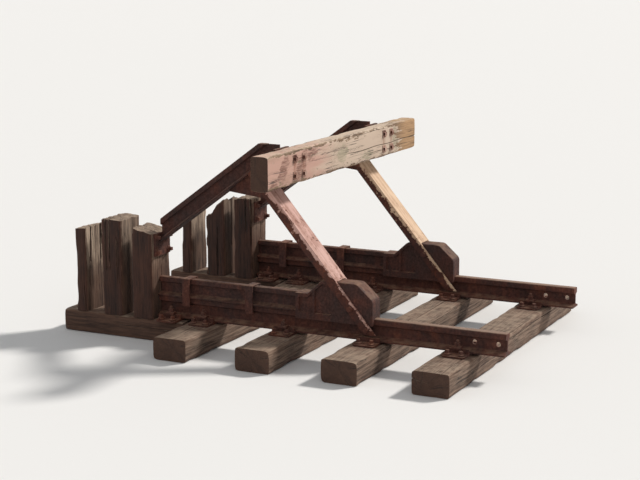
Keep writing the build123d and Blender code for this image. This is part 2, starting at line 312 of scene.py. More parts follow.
def make_object(name: str, shell: Shell, material: bpy.types.Material, smooth_angle: float = 35.0,
                attributes: dict[str, np.ndarray] | None = None) -> bpy.types.Object:
    """Puts a shell into the scene as a piece that rides on the part.

    Args:
        name: The piece's name.
        shell: Its corners and faces.
        material: Its material.
        smooth_angle: Edges sharper than this many degrees stay sharp.
        attributes: Values on the corners, one number or three to each.

    Returns:
        The new object.
    """
    mesh = bpy.data.meshes.new(name)
    mesh.from_pydata(shell.points.tolist(), [], shell.faces)
    mesh.validate()
    for key, values in (attributes or {}).items():
        kind, member = ("FLOAT", "value") if values.ndim == 1 else ("FLOAT_VECTOR", "vector")
        layer = mesh.attributes.new(key, kind, "POINT")
        layer.data.foreach_set(member, values.astype(np.float32).ravel())
    mesh.polygons.foreach_set("use_smooth", np.ones(len(mesh.polygons), bool))
    mesh.set_sharp_from_angle(angle=math.radians(smooth_angle))
    mesh.materials.append(material)
    mesh.update()
    piece = bpy.data.objects.new(name, mesh)
    bpy.context.scene.collection.objects.link(piece)
    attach(piece, BODY)
    log.info("%s: %d faces", name, len(mesh.polygons))
    return piece


def side_piece(name: str, side: Side, shells: Iterable[Shell], material: bpy.types.Material,
               smooth_angle: float = 35.0) -> bpy.types.Object:
    """Joins the shells of one side into a piece that is named for its side."""
    return make_object(f"{name}_{side.value}", Shell.joined(shells), material, smooth_angle)


class Wire:
    """A value on its way through a shader tree. Arithmetic on it adds Math nodes."""

    def __init__(self, sheet: Sheet, socket: bpy.types.NodeSocket) -> None:
        """Takes the sheet that it runs on and the socket that it comes from."""
        self.sheet = sheet
        self.socket = socket

    def __add__(self, other: Wire | float) -> Wire:
        """Adds."""
        return self.sheet.math("ADD", self, other)

    def __sub__(self, other: Wire | float) -> Wire:
        """Subtracts."""
        return self.sheet.math("SUBTRACT", self, other)

    def __rsub__(self, other: float) -> Wire:
        """Subtracts this value from a number."""
        return self.sheet.math("SUBTRACT", other, self)

    def __mul__(self, other: Wire | float) -> Wire:
        """Multiplies."""
        return self.sheet.math("MULTIPLY", self, other)

    def __truediv__(self, other: float) -> Wire:
        """Divides."""
        return self.sheet.math("DIVIDE", self, other)

    def __pow__(self, power: float) -> Wire:
        """Raises to a power."""
        return self.sheet.math("POWER", self, power)

    def __abs__(self) -> Wire:
        """Drops the sign."""
        return self.sheet.math("ABSOLUTE", self)


class Sheet:
    """Writes nodes into a material's or a group's tree in short calls."""

    def __init__(self, tree: bpy.types.NodeTree) -> None:
        """Takes the tree that the nodes go into."""
        self.tree = tree

    def node(self, kind: str, **settings: object) -> bpy.types.Node:
        """Adds one shader node.

        Args:
            kind: The node's type, without the ShaderNode before it.
            settings: Its properties.

        Returns:
            The node.
        """
        node = self.tree.nodes.new("ShaderNode" + kind)
        for key, value in settings.items():
            setattr(node, key, value)
        return node

    def fill(self, node: bpy.types.Node, values: dict[str | int, object]) -> None:
        """Gives a node its inputs.

        Args:
            node: The node.
            values: By the input's name or number, a wire to link it to or a plain value to write on it.
        """
        for key, value in values.items():
            if isinstance(value, Wire):
                self.tree.links.new(value.socket, node.inputs[key])
            else:
                node.inputs[key].default_value = value

    def made(self, kind: str, output: str | int, values: dict[str | int, object], **settings: object) -> Wire:
        """Adds a node and hands one of its outputs over.

        Args:
            kind: The node's type, without the ShaderNode before it.
            output: Name or number of the output.
            values: What its inputs get.
            settings: Its properties.

        Returns:
            The output.
        """
        node = self.node(kind, **settings)
        self.fill(node, values)
        return Wire(self, node.outputs[output])

    def math(self, operation: str, first: Wire | float, second: Wire | float = 0.0) -> Wire:
        """Adds a Math node."""
        return self.made("Math", 0, {0: first, 1: second}, operation=operation)

    def stretched(self, vector: Wire, scale: Triple, turn: Triple = (0, 0, 0)) -> Wire:
        """Turns and scales a vector."""
        return self.made("Mapping", 0, {"Vector": vector, "Rotation": turn, "Scale": scale},
                         vector_type="POINT")

    def noise(self, vector: Wire, scale: float, detail: float = 4.0, rough: float = 0.55,
              distortion: float = 0.0, output: str = "Fac") -> Wire:
        """Adds a noise of 0 to 1."""
        return self.made("TexNoise", output, {"Vector": vector, "Scale": scale, "Detail": detail,
                                              "Roughness": rough, "Distortion": distortion})

    def span(self, value: Wire, low: float, high: float, to_low: float = 0.0, to_high: float = 1.0) -> Wire:
        """Maps a value from one span to another, smoothly and held at the ends."""
        return self.made("MapRange", "Result", {"Value": value, "From Min": low, "From Max": high,
                                                "To Min": to_low, "To Max": to_high},
                         interpolation_type="SMOOTHSTEP")

    def vein(self, noise: Wire, half_width: float) -> Wire:
        """Draws a thin line where a noise passes its middle."""
        return self.span(abs(noise - 0.5), 0.0, half_width, 1.0, 0.0)

    def mix(self, share: Wire, first: Wire | Colour, second: Wire | Colour, blend: str = "MIX") -> Wire:
        """Mixes two colours."""
        return self.made("Mix", 2, {0: share, 6: first, 7: second}, data_type="RGBA", blend_type=blend)

    def blend(self, share: Wire, first: Wire, second: Wire) -> Wire:
        """Mixes two numbers."""
        return self.made("Mix", 0, {0: share, 2: first, 3: second}, data_type="FLOAT")

    def ramp(self, value: Wire, stops: Sequence[tuple[float, Colour]]) -> Wire:
        """Turns a value into a colour through several stops.

        Args:
            value: The value, 0 to 1.
            stops: Pairs of a value and its colour, in rising order.

        Returns:
            The colour.
        """
        result = self.made("ValToRGB", 0, {0: value})
        elements = result.socket.node.color_ramp.elements
        elements[0].position, elements[0].color = stops[0]
        elements[1].position, elements[1].color = stops[-1]
        for place, colour in stops[1:-1]:
            elements.new(place).color = colour
        return result

    def parts(self, vector: Wire) -> tuple[Wire, ...]:
        """Splits a vector into its three numbers."""
        split = self.made("SeparateXYZ", 0, {0: vector})
        return tuple(Wire(self, socket) for socket in split.socket.node.outputs)

    def normal(self) -> Wire:
        """Reads which way the surface faces."""
        return self.made("NewGeometry", "Normal", {})


class EffectLibrary:
    """Shader node groups that several finishes share, each built once."""

    def __init__(self) -> None:
        """Builds the groups."""
        self.rust = self._rust()
        self.grain = self._grain()
        self.dust = self._dust()
        self.sun_side = self._sun_side()

    @staticmethod
    def _group(name: str, inputs: dict[str, str], outputs: dict[str, str]
               ) -> tuple[Sheet, dict[str, Wire], bpy.types.Node]:
        """Starts a group with its sockets.

        Args:
            name: Its name.
            inputs: The kind of each input.
            outputs: The kind of each output.

        Returns:
            Its sheet, its inputs by name, and the node that takes its outputs.
        """
        group = bpy.data.node_groups.new(name, "ShaderNodeTree")
        for way, sockets in (("INPUT", inputs), ("OUTPUT", outputs)):
            for label, kind in sockets.items():
                group.interface.new_socket(name=label, in_out=way, socket_type="NodeSocket" + kind)
        sheet = Sheet(group)
        sockets = group.nodes.new("NodeGroupInput").outputs
        given = {label: Wire(sheet, sockets[label]) for label in inputs}
        return sheet, given, group.nodes.new("NodeGroupOutput")

    def _rust(self) -> bpy.types.NodeTree:
        """Rust: a colour that runs from dark scale to orange dust, a roughness and a pitted height.

        Returns:
            The group.
        """
        s, given, out = self._group("rolled_rust", {"Vector": "Vector", "Orange": "Float"},
                                    {"Color": "Color", "Roughness": "Float", "Height": "Float"})
        where = given["Vector"]
        broad = s.noise(where, 5.0, 6.0, 0.6, 0.6)
        fine = s.noise(where, 60.0, 5.0, 0.65)
        runs = s.noise(s.stretched(where, (1.0, 1.0, 0.13)), 30.0, 4.0, 0.6)
        pits = s.noise(where, 210.0, 3.0, 0.6)
        tone = s.ramp(broad * 0.48 + fine * 0.30 + runs * 0.22 + given["Orange"], [
            (0.32, srgb(34, 16, 12)), (0.44, srgb(59, 29, 21)), (0.55, srgb(86, 44, 30)),
            (0.66, srgb(120, 67, 44)), (0.80, srgb(158, 100, 67))])
        rough = s.span(fine, 0.3, 0.7, 0.94, 0.72)
        s.fill(out, {"Color": tone, "Roughness": rough, "Height": pits * 0.5 + fine})
        return s.tree

    def _grain(self) -> bpy.types.NodeTree:
        """Weathered wood: long fibres, late-wood ridges and fine drying cracks, along the third coordinate.

        On end faces it shows growth rings, a sine of the distance to the pith, and cracks that run outwards.

        Returns:
            The group.
        """
        s, given, out = self._group("weathered_grain", {"Vector": "Vector", "End": "Float"},
                                    {"Fibre": "Float", "Cracks": "Float", "Height": "Float"})
        where = given["Vector"]
        wobble = s.noise(s.stretched(where, (1.0, 1.0, 0.35)), 6.0, 2.0, 0.5, output="Color")
        bent = s.made("VectorMath", 0, {0: wobble, 1: (0.03, 0.03, 0.0), 2: where}, operation="MULTIPLY_ADD")
        along = s.stretched(bent, (1.0, 1.0, 0.035))
        fibre = s.noise(along, 210.0, 5.0, 0.62)
        ridge = s.noise(along, 62.0, 3.0, 0.5)
        split = s.noise(s.stretched(bent, (1.0, 1.0, 0.02)), 44.0, 2.0, 0.5)
        patches = s.noise(s.stretched(where, (1.0, 1.0, 0.3)), 9.0, 2.0)
        cracks = s.vein(split, 0.018) * s.span(patches, 0.47, 0.60)
        flat, bent_flat = (s.stretched(vector, (1.0, 1.0, 0.0)) for vector in (where, bent))
        x, y, _ = s.parts(bent)
        radius = s.math("SQRT", x * x + y * y)
        growth = s.noise(bent_flat, 22.0, 4.0, 0.6)
        faint = s.span(s.noise(flat, 27.0, 3.0, 0.6), 0.34, 0.66, 0.08, 0.42)
        rings = s.math("SINE", radius * 940.0 + growth * 26.0) * faint + 0.5
        outward = s.made("VectorMath", 0, {0: bent_flat}, operation="NORMALIZE")
        gaps = s.span(s.noise(flat, 13.0, 2.0), 0.40, 0.54)
        rays = s.vein(s.noise(outward, 4.2, 3.0, 0.55), 0.012) * gaps
        end_face = rings * 0.34 + fibre * 0.40 + growth * 0.26
        fibres = s.blend(given["End"], fibre * 0.55 + ridge * 0.45, end_face)
        cracks = s.blend(given["End"], cracks, rays)
        s.fill(out, {"Fibre": fibres, "Cracks": cracks, "Height": fibres - cracks * 1.6})
        return s.tree

    def _dust(self) -> bpy.types.NodeTree:
        """Pale dust and rain-washed dirt that lies on faces that look up, broken up by noise.

        Returns:
            The group.
        """
        inputs = {"Vector": "Vector", "Color": "Color", "Dust": "Color", "Amount": "Float"}
        s, given, out = self._group("settled_dust", inputs, {"Color": "Color"})
        up = s.parts(s.normal())[2]
        cloud = s.noise(given["Vector"], 17.0, 5.0, 0.6)
        share = s.span(up, 0.35, 0.95) * s.span(cloud, 0.32, 0.66) * given["Amount"]
        s.fill(out, {"Color": s.mix(share, given["Color"], given["Dust"])})
        return s.tree

    def _sun_side(self) -> bpy.types.NodeTree:
        """How much sun a face gets, as a mask for painted light and painted shade: 1 towards the train and
        the sky, 0 in the shade, with a ragged border.

        Returns:
            The group.
        """
        sunny_side = (0.62, 0.36, 0.70)
        s, given, out = self._group("painted_light_side", {"Vector": "Vector"}, {"Sun": "Float"})
        facing = s.made("VectorMath", "Value", {0: s.normal(), 1: sunny_side}, operation="DOT_PRODUCT")
        cloud = s.noise(given["Vector"], 8.0, 4.0, 0.6)
        s.fill(out, {"Sun": s.span(facing + (cloud - 0.5) * 0.5, 0.0, 0.72)})
        return s.tree


class Finish:
    """A material in the making: its sheet, its shader and what its patterns are placed by."""

    def __init__(self, name: str, effects: EffectLibrary) -> None:
        """Starts a material with an empty Principled shader.

        Args:
            name: The material's name.
            effects: The shared effects.
        """
        self.material = bpy.data.materials.new(name)
        self.material.use_nodes = True
        self.effects = effects
        tree = self.material.node_tree
        tree.nodes.clear()
        self.sheet = Sheet(tree)
        self.shader = self.sheet.node("BsdfPrincipled")
        out = self.sheet.node("OutputMaterial")
        tree.links.new(self.shader.outputs[0], out.inputs[0])
        self.place = self.sheet.made("TexCoord", "Object", {})

    def effect(self, group: bpy.types.NodeTree, **values: object) -> dict[str, Wire]:
        """Places a shared effect in the material.

        Args:
            group: The effect's group.
            values: What its inputs get, by name.

        Returns:
            Its outputs by name.
        """
        node = self.sheet.node("Group", node_tree=group)
        self.sheet.fill(node, values)
        return {socket.name: Wire(self.sheet, socket) for socket in node.outputs}

    def attribute(self, name: str, output: str = "Fac") -> Wire:
        """Reads a value that the mesh carries."""
        return self.sheet.made("Attribute", output, {}, attribute_name=name)

    def grain(self) -> dict[str, Wire]:
        """Lays the grain along the timber."""
        return self.effect(self.effects.grain, Vector=self.attribute("grain", "Vector"),
                           End=self.attribute("end"))

    def cracked(self, colour: Wire, grain: dict[str, Wire], share: float, dark: Colour) -> Wire:
        """Darkens a colour in the fine cracks of the grain and in the open ones of the mesh."""
        deep = self.sheet.math("MAXIMUM", grain["Cracks"], self.attribute("check"))
        return self.sheet.mix(deep * share, colour, dark)

    def dusted(self, colour: Wire, dust: Colour, amount: float) -> Wire:
        """Lays dust on a colour."""
        laid = self.effect(self.effects.dust, Vector=self.place, Color=colour, Dust=dust, Amount=amount)
        return laid["Color"]

    def sun(self) -> Wire:
        """Says how much sun the surface gets, as a mask for painted light and painted shade."""
        return self.effect(self.effects.sun_side, Vector=self.place)["Sun"]

    def shade_painted_on(self, colour: Wire, share: float) -> Wire:
        """Paints shade: darkens a colour on the faces turned away from the sun."""
        shade = self.sheet.span(self.sun(), 0.0, 1.0, share, 0.0)
        return self.sheet.mix(shade, colour, srgb(150, 108, 90), "MULTIPLY")

    def close(self, colour: Wire, rough: Wire, height: Wire, strength: float, distance: float
              ) -> bpy.types.Material:
        """Feeds the shader and hands the material over.

        Args:
            colour: The surface's colour.
            rough: Its roughness.
            height: Its relief.
            strength: How strongly the relief shows, 0 to 1.
            distance: The relief's depth in metres.

        Returns:
            The material.
        """
        normal = self.sheet.made("Bump", 0, {"Strength": strength, "Distance": distance, "Height": height})
        self.sheet.fill(self.shader, {"Base Color": colour, "Roughness": rough, "Normal": normal})
        return self.material


@dataclass(frozen=True)
class RustySteel:
    """Bare steel gone brown.

    Attributes:
        name: The material's name.
        orange: How far the rust leans to orange.
        pitting: Depth of the bump in metres.
        worn_above: Height from which the surface is rubbed smooth, or None.
    """

    name: str
    orange: float = 0.0
    pitting: float = 0.0012
    worn_above: float | None = None

    def build(self, effects: EffectLibrary) -> bpy.types.Material:
        """Builds the material.

        Args:
            effects: The shared effects.

        Returns:
            The material.
        """
        f = Finish(self.name, effects)
        s = f.sheet
        rust = f.effect(effects.rust, Vector=f.place, Orange=self.orange)
        # Painted shade on the rust, on the faces turned away from the sun.
        colour = f.shade_painted_on(f.dusted(rust["Color"], srgb(150, 118, 94), 0.42), 0.38)
        rough = rust["Roughness"]
        if self.worn_above is not None:
            height = s.parts(f.place)[2]
            streak = s.noise(s.stretched(f.place, (0.05, 1.0, 1.0)), 90.0, 4.0)
            head = s.span(height, self.worn_above - 0.0045, self.worn_above - 0.001)
            rubbed = head * s.span(streak, 0.3, 0.62, 0.35, 0.85)
            colour = s.mix(rubbed, colour, srgb(142, 116, 98))
            rough = rough - rubbed * 0.3
        return f.close(colour, rough, rust["Height"], 0.55, self.pitting)


@dataclass(frozen=True)
class ChalkyPaint:
    """Old paint on steel, faded by the sun, with rust where it has come off.

    Attributes:
        name: The material's name.
        pale: The paint where the sun has faded it.
        deep: The paint in its stains.
        bare: Share of the surface that has lost its paint.
        lean: Angle in radians by which the strut leans from upright. The streaks run along it, and the paint
            holds longest round its front edges.
    """

    name: str
    pale: Colour
    deep: Colour
    bare: float = 0.45
    lean: float = 0.0

    def build(self, effects: EffectLibrary) -> bpy.types.Material:
        """Builds the material.

        Args:
            effects: The shared effects.

        Returns:
            The material.
        """
        f = Finish(self.name, effects)
        s = f.sheet
        along = s.stretched(f.place, (1.0, 1.0, 1.0), (0.0, self.lean, 0.0))
        streaks = s.noise(s.stretched(along, (1.0, 1.0, 0.08)), 34.0, 5.0, 0.6)
        clouds = s.noise(f.place, 7.0, 5.0, 0.6, 0.4)
        paint = s.mix(s.span(streaks * 0.6 + clouds * 0.4, 0.38, 0.64), self.pale, self.deep)
        chips = s.noise(f.place, 38.0, 6.0, 0.68, 0.5)
        loss = chips * 0.62 + clouds * 0.38 + self._exposure(f, clouds)
        gone = 1.0 - self.bare
        bare = s.span(loss, gone, gone + 0.035)
        halo = s.span(loss, gone - 0.07, gone + 0.01)
        stained = s.mix(halo * 0.5, paint, srgb(132, 84, 62))
        rust = f.effect(effects.rust, Vector=f.place, Orange=0.03)
        # The bare rust takes painted shade on the faces turned away from the sun.
        colour = s.mix(bare, stained, f.shade_painted_on(rust["Color"], 0.5))
        relief = (1.0 - bare) * 1.2 + rust["Height"] * 0.6
        return f.close(colour, bare * 0.12 + 0.74, relief, 0.5, 0.0009)

    def _exposure(self, f: Finish, clouds: Wire) -> Wire:
        """Adds up where the paint comes off first: near the rail, under the beam and on the flanks, whose
        bare rust also paints the flanges' shade.

        Args:
            f: The material in the making.
            clouds: A broad noise that makes the border on the flanks wander.

        Returns:
            What it adds to the loss.
        """
        s = f.sheet
        station, _, height = s.parts(f.place)
        low = s.span(height, RAIL_TOP + 0.02, RAIL_TOP + 0.5, 0.14, 0.0)
        high = s.span(height, RAIL_TOP + 0.86, RAIL_TOP + 1.06, 0.0, 0.10)
        # Paint lost on the flanks; the bare rust there also stands in for the flanges' shade.
        flank_loss_and_shade = s.span(abs(s.parts(s.normal())[1]), 0.45, 0.9, 0.0, 0.19)
        if self.lean:
            rise, run = math.cos(self.lean), math.sin(self.lean)
            behind = (STRUT_AT_RAIL * rise + RAIL_TOP * run) - (station * rise + height * run)
            flank_loss_and_shade = flank_loss_and_shade * s.span(behind + (clouds - 0.5) * 0.11, 0.004, 0.040)
            low = low * s.span(behind, 0.004, 0.030, 0.5, 1.0)
        return low + high + flank_loss_and_shade


@dataclass(frozen=True)
class WeatheredTimber:
    """Bare old wood, tarred long ago.

    Attributes:
        name: The material's name.
        dark: The colour in the soft wood between the ridges.
        pale: The colour of the sun-greyed ridges.
        grey: Share of grey on the faces that look up.
        rust_beside_rails: Share of rust that has washed off the rails and plates on to the wood.
        sunlit_silver: Share of silvery fibres on the faces that the sun reaches, partly sun-greyed wood and
            partly painted sunlight.
        painted_shade_share: Share of painted shade on the faces turned away from the sun.
        silver_fades_below: Height in metres under which the silvery fibres fade out, or zero.
    """

    name: str
    dark: Colour
    pale: Colour
    grey: float = 0.5
    rust_beside_rails: float = 0.0
    sunlit_silver: float = 0.3
    painted_shade_share: float = 0.45
    silver_fades_below: float = 0.0

    def build(self, effects: EffectLibrary) -> bpy.types.Material:
        """Builds the material.

        Args:
            effects: The shared effects.

        Returns:
            The material.
        """
        f = Finish(self.name, effects)
        s = f.sheet
        grain = f.grain()
        fibre = grain["Fibre"]
        _, y, z = s.parts(f.place)
        broad = s.noise(f.place, 4.5, 4.0, 0.6)
        wood = s.mix(s.span(fibre * 0.7 + broad * 0.3, 0.34, 0.66), self.dark, self.pale)
        wood = s.mix(f.attribute("worn") * 0.45, wood, self.pale)
        wood = s.mix(f.attribute("end") * 0.42, wood, srgb(74, 50, 38))
        # Painted shade: darker on the faces turned away from the sun.
        wood = f.shade_painted_on(wood, self.painted_shade_share)
        # Silvery fibres on the sun-facing faces: sun-greyed wood and painted sunlight; below a height they
        # fade out.
        silver_and_sunlight = s.span(f.sun(), 0.35, 1.0, 0.0, self.sunlit_silver) * s.span(fibre, 0.38, 0.60)
        if self.silver_fades_below:
            height = z + (broad - 0.5) * 0.3
            silver_and_sunlight = silver_and_sunlight * s.span(height, self.silver_fades_below - 0.26, self.silver_fades_below, 0.12, 1.0)
        wood = f.dusted(s.mix(silver_and_sunlight, wood, srgb(196, 174, 152)), srgb(166, 146, 126), self.grey)
        if self.rust_beside_rails:
            beside = s.span(abs(abs(y) - RAIL_OFFSET), 0.15, 0.36, self.rust_beside_rails, 0.0)
            cloud = s.noise(f.place, 14.0, 5.0, 0.62)
            up = s.parts(s.normal())[2]
            washed = beside * s.span(cloud, 0.34, 0.60) * s.span(up, 0.1, 0.8, 0.25, 1.0)
            wood = s.mix(washed, wood, srgb(88, 56, 41))
        wood = f.cracked(wood, grain, 0.9, srgb(20, 14, 11))
        return f.close(wood, s.span(fibre, 0.3, 0.7, 0.95, 0.82), grain["Height"], 0.75, 0.0022)


@dataclass(frozen=True)
class Stain:
    """A dirty patch in the beam's paint.

    Attributes:
        y: Its middle across the track, in metres.
        z: Its middle above the ground, in metres.
        wide: Its half width in metres.
        high: Its half height in metres.
        lean: How far it leans: metres across for each metre up.
    """

    y: float
    z: float
    wide: float
    high: float
    lean: float = 0.0


@dataclass(frozen=True)
class PeelingBeamPaint:
    """The beam's paint: pale pink and stained at one end, chalk white further on, gone at the other end.

    Attributes:
        name: The material's name.
        rosy: The paint at the left end.
        chalk: The paint from the middle on.
        wood_dark: The bare wood between its fibres.
        wood_pale: The bare wood on its fibres.
        dirt: The brown of the patches near the left end.
        moss: The green of the patches further on.
        brown_stains: Dirty patches near the left end.
        green_stains: Mossy patches from the middle on.
        bolt_top: Height of the upper bolts, from which rust has run down.
    """

    name: str = "beam_peeling_paint"
    rosy: Colour = srgb(192, 152, 136)
    chalk: Colour = srgb(201, 179, 159)
    wood_dark: Colour = srgb(86, 64, 50)
    wood_pale: Colour = srgb(158, 132, 106)
    dirt: Colour = srgb(114, 76, 61)
    moss: Colour = srgb(150, 142, 116)
    brown_stains: tuple[Stain, ...] = (
        Stain(-0.98, 1.330, 0.055, 0.075, 0.5), Stain(-0.74, 1.300, 0.060, 0.110, 0.6),
        Stain(-1.12, 1.235, 0.050, 0.030), Stain(-0.56, 1.385, 0.075, 0.035, 0.3))
    green_stains: tuple[Stain, ...] = (
        Stain(-0.05, 1.330, 0.075, 0.055, 0.2), Stain(0.90, 1.330, 0.060, 0.075, -0.3),
        Stain(0.38, 1.265, 0.090, 0.030))
    bolt_top: float = 1.386

    def build(self, effects: EffectLibrary) -> bpy.types.Material:
        """Builds the material.

        Args:
            effects: The shared effects.

        Returns:
            The material.
        """
        f = Finish(self.name, effects)
        s = f.sheet
        grain = f.grain()
        _, y, z = s.parts(f.place)
        ends = f.attribute("end")
        smear = s.noise(s.stretched(f.place, (1.0, 0.16, 1.0)), 18.0, 5.0, 0.62, 0.3)
        shifted = y + (smear - 0.5)
        chips = s.noise(s.stretched(f.place, (1.0, 0.3, 1.0)), 46.0, 6.0, 0.66, 0.5)
        loss = (chips * 0.7 + smear * 0.3 + s.span(shifted, 0.86, 1.12, 0.0, 0.30)
                + f.attribute("worn") * 0.20 + ends * 0.4)
        bare = s.span(loss, 0.605, 0.632)
        rim = s.span(loss, 0.585, 0.605)
        colour = s.mix(rim * 0.35, self._paint(f, y, z, shifted), srgb(214, 196, 178))
        colour = s.mix(bare, colour, self._wood(s, grain["Fibre"], y, ends))
        colour = f.dusted(colour, srgb(206, 186, 162), 0.6)
        colour = f.cracked(colour, grain, 0.85, srgb(30, 21, 17))
        height = grain["Height"] + (1.0 - bare) * 0.7
        return f.close(colour, s.span(bare, 0.0, 1.0, 0.74, 0.92), height, 0.6, 0.0018)

    def _paint(self, f: Finish, y: Wire, z: Wire, shifted: Wire) -> Wire:
        """Runs from rosy to chalk along the beam, under a film of dirt, stains and rust.

        Args:
            f: The material in the making.
            y: The place across the track.
            z: The height.
            shifted: The place across the track, moved about by smears.

        Returns:
            The paint's colour.
        """
        s = f.sheet
        cloud = s.noise(s.stretched(f.place, (1.0, 0.34, 1.0)), 34.0, 6.0, 0.68, 0.2)
        film = s.noise(s.stretched(f.place, (1.0, 0.4, 1.5)), 9.0, 6.0, 0.62)
        scratches = s.noise(s.stretched(f.place, (1.0, 0.1, 1.0)), 120.0, 3.0, 0.6)
        streaks = s.span(scratches, 0.38, 0.58, 0.3, 1.0)
        paint = s.mix(s.span(shifted, -0.62, -0.12, 1.0, 0.0), self.chalk, self.rosy)
        paint = s.mix(s.span(film, 0.44, 0.74, 0.0, 0.42), paint, srgb(150, 122, 101))
        for stains, share, colour in ((self.brown_stains, 0.85, self.dirt),
                                      (self.green_stains, 0.75, self.moss)):
            paint = s.mix(self._stained(s, y, z, cloud, stains) * streaks * share, paint, colour)
        return s.mix(self._rust_runs(f, y, z), paint, srgb(132, 80, 54))

    def _wood(self, s: Sheet, fibre: Wire, y: Wire, ends: Wire) -> Wire:
        """Colours the bare wood: tan towards the right end, darker on the end faces, the left one with
        painted shade.

        Args:
            s: The material's sheet.
            fibre: The grain's fibres.
            y: The place across the track.
            ends: The mask of the end faces.

        Returns:
            The wood's colour.
        """
        wood = s.mix(s.span(fibre, 0.34, 0.66), self.wood_dark, self.wood_pale)
        tan = s.span(y, 0.86, 1.12, 0.0, 0.75) * s.span(fibre, 0.30, 0.52, 0.35, 1.0)
        wood = s.mix(tan, wood, srgb(186, 147, 106))
        # End grain is darker; the left end face, turned away from the sun, is darkened much more as painted
        # shade.
        return s.mix(ends * s.span(y, -1.0, 1.0, 0.88, 0.15), wood, srgb(54, 29, 20))

    @staticmethod
    def _stained(s: Sheet, y: Wire, z: Wire, cloud: Wire, stains: Sequence[Stain]) -> Wire:
        """Joins leaning ellipses, each 1 inside and 0 outside, with borders broken by a cloud.

        Args:
            s: The material's sheet.
            y: The place across the track.
            z: The height.
            cloud: The noise that breaks the borders.
            stains: The patches.

        Returns:
            The share of stain.
        """
        share: Wire | float = 0.0
        for stain in stains:
            up = z - stain.z
            across = y - stain.y - up * stain.lean
            far = (across / stain.wide) ** 2.0 + (up / stain.high) ** 2.0
            share = s.math("MAXIMUM", share, s.span(far + (cloud - 0.5) * 7.5, 0.6, 1.9, 1.0, 0.0))
        return share

    def _rust_runs(self, f: Finish, y: Wire, z: Wire) -> Wire:
        """Rust that rain has drawn down from the bolt heads: narrow at the bolt's sides, fading downwards.

        Args:
            f: The material in the making.
            y: The place across the track.
            z: The height.

        Returns:
            The share of rust.
        """
        s = f.sheet
        wisps = s.noise(s.stretched(f.place, (1.0, 1.0, 0.08)), 95.0, 3.0, 0.6)
        near = s.span(abs(abs(abs(y) - RAIL_OFFSET) - BEAM_BOLT_ACROSS), 0.010, 0.034, 1.0, 0.0)
        below = s.span(z, self.bolt_top - 0.19, self.bolt_top, 0.35, 1.0)
        above = s.span(z, self.bolt_top, self.bolt_top + 0.02, 1.0, 0.0)
        return near * below * above * s.span(wisps, 0.40, 0.62, 0.1, 0.85)


class Palette:
    """Every material of the buffer stop."""

    def __init__(self) -> None:
        """Builds the materials."""
        effects = EffectLibrary()
        lean = math.radians(90 - STRUT_DEGREES)
        sleeper = WeatheredTimber("sleeper_tarred_timber", srgb(44, 29, 22), srgb(112, 84, 67),
                                  rust_beside_rails=0.5, sunlit_silver=0.25, painted_shade_share=0.35)
        post = WeatheredTimber("post_split_timber", srgb(36, 20, 14), srgb(98, 65, 47), grey=0.6,
                               sunlit_silver=0.5, painted_shade_share=0.70, silver_fades_below=0.74)
        # A lit copy of the post timber for the rear stubs: more painted sunlight on their sun-facing faces.
        sunlit_rear_post = replace(post, name="post_sunlit_timber", sunlit_silver=1.0, silver_fades_below=0.64)
        bolt_head = ChalkyPaint("bolt_head_old_paint", srgb(184, 152, 136), srgb(138, 100, 84), bare=0.37)
        pink = ChalkyPaint("strut_faded_pink", srgb(204, 165, 153), srgb(160, 116, 102), bare=0.42, lean=lean)
        cream = ChalkyPaint("strut_faded_cream", srgb(217, 187, 156), srgb(182, 146, 117), bare=0.38,
                            lean=lean)
        self.track = RustySteel("track_rail_rust", pitting=0.0008, worn_above=RAIL_TOP).build(effects)
        self.old_rail = RustySteel("old_rail_rust", orange=-0.04).build(effects)
        self.casting = RustySteel("shoe_casting_rust", orange=-0.05, pitting=0.0026).build(effects)
        self.plate = RustySteel("plate_rust", orange=0.03, pitting=0.0014).build(effects)
        self.fitting = RustySteel("fitting_rust", pitting=0.001).build(effects)
        self.fastening = RustySteel("fastening_rust", orange=0.03, pitting=0.0008).build(effects)
        self.bolt_head = bolt_head.build(effects)
        self.strut_left = pink.build(effects)
        self.strut_right = cream.build(effects)
        self.sleeper = sleeper.build(effects)
        self.post = post.build(effects)
        self.sunlit_rear_post = sunlit_rear_post.build(effects)
        self.beam = PeelingBeamPaint().build(effects)


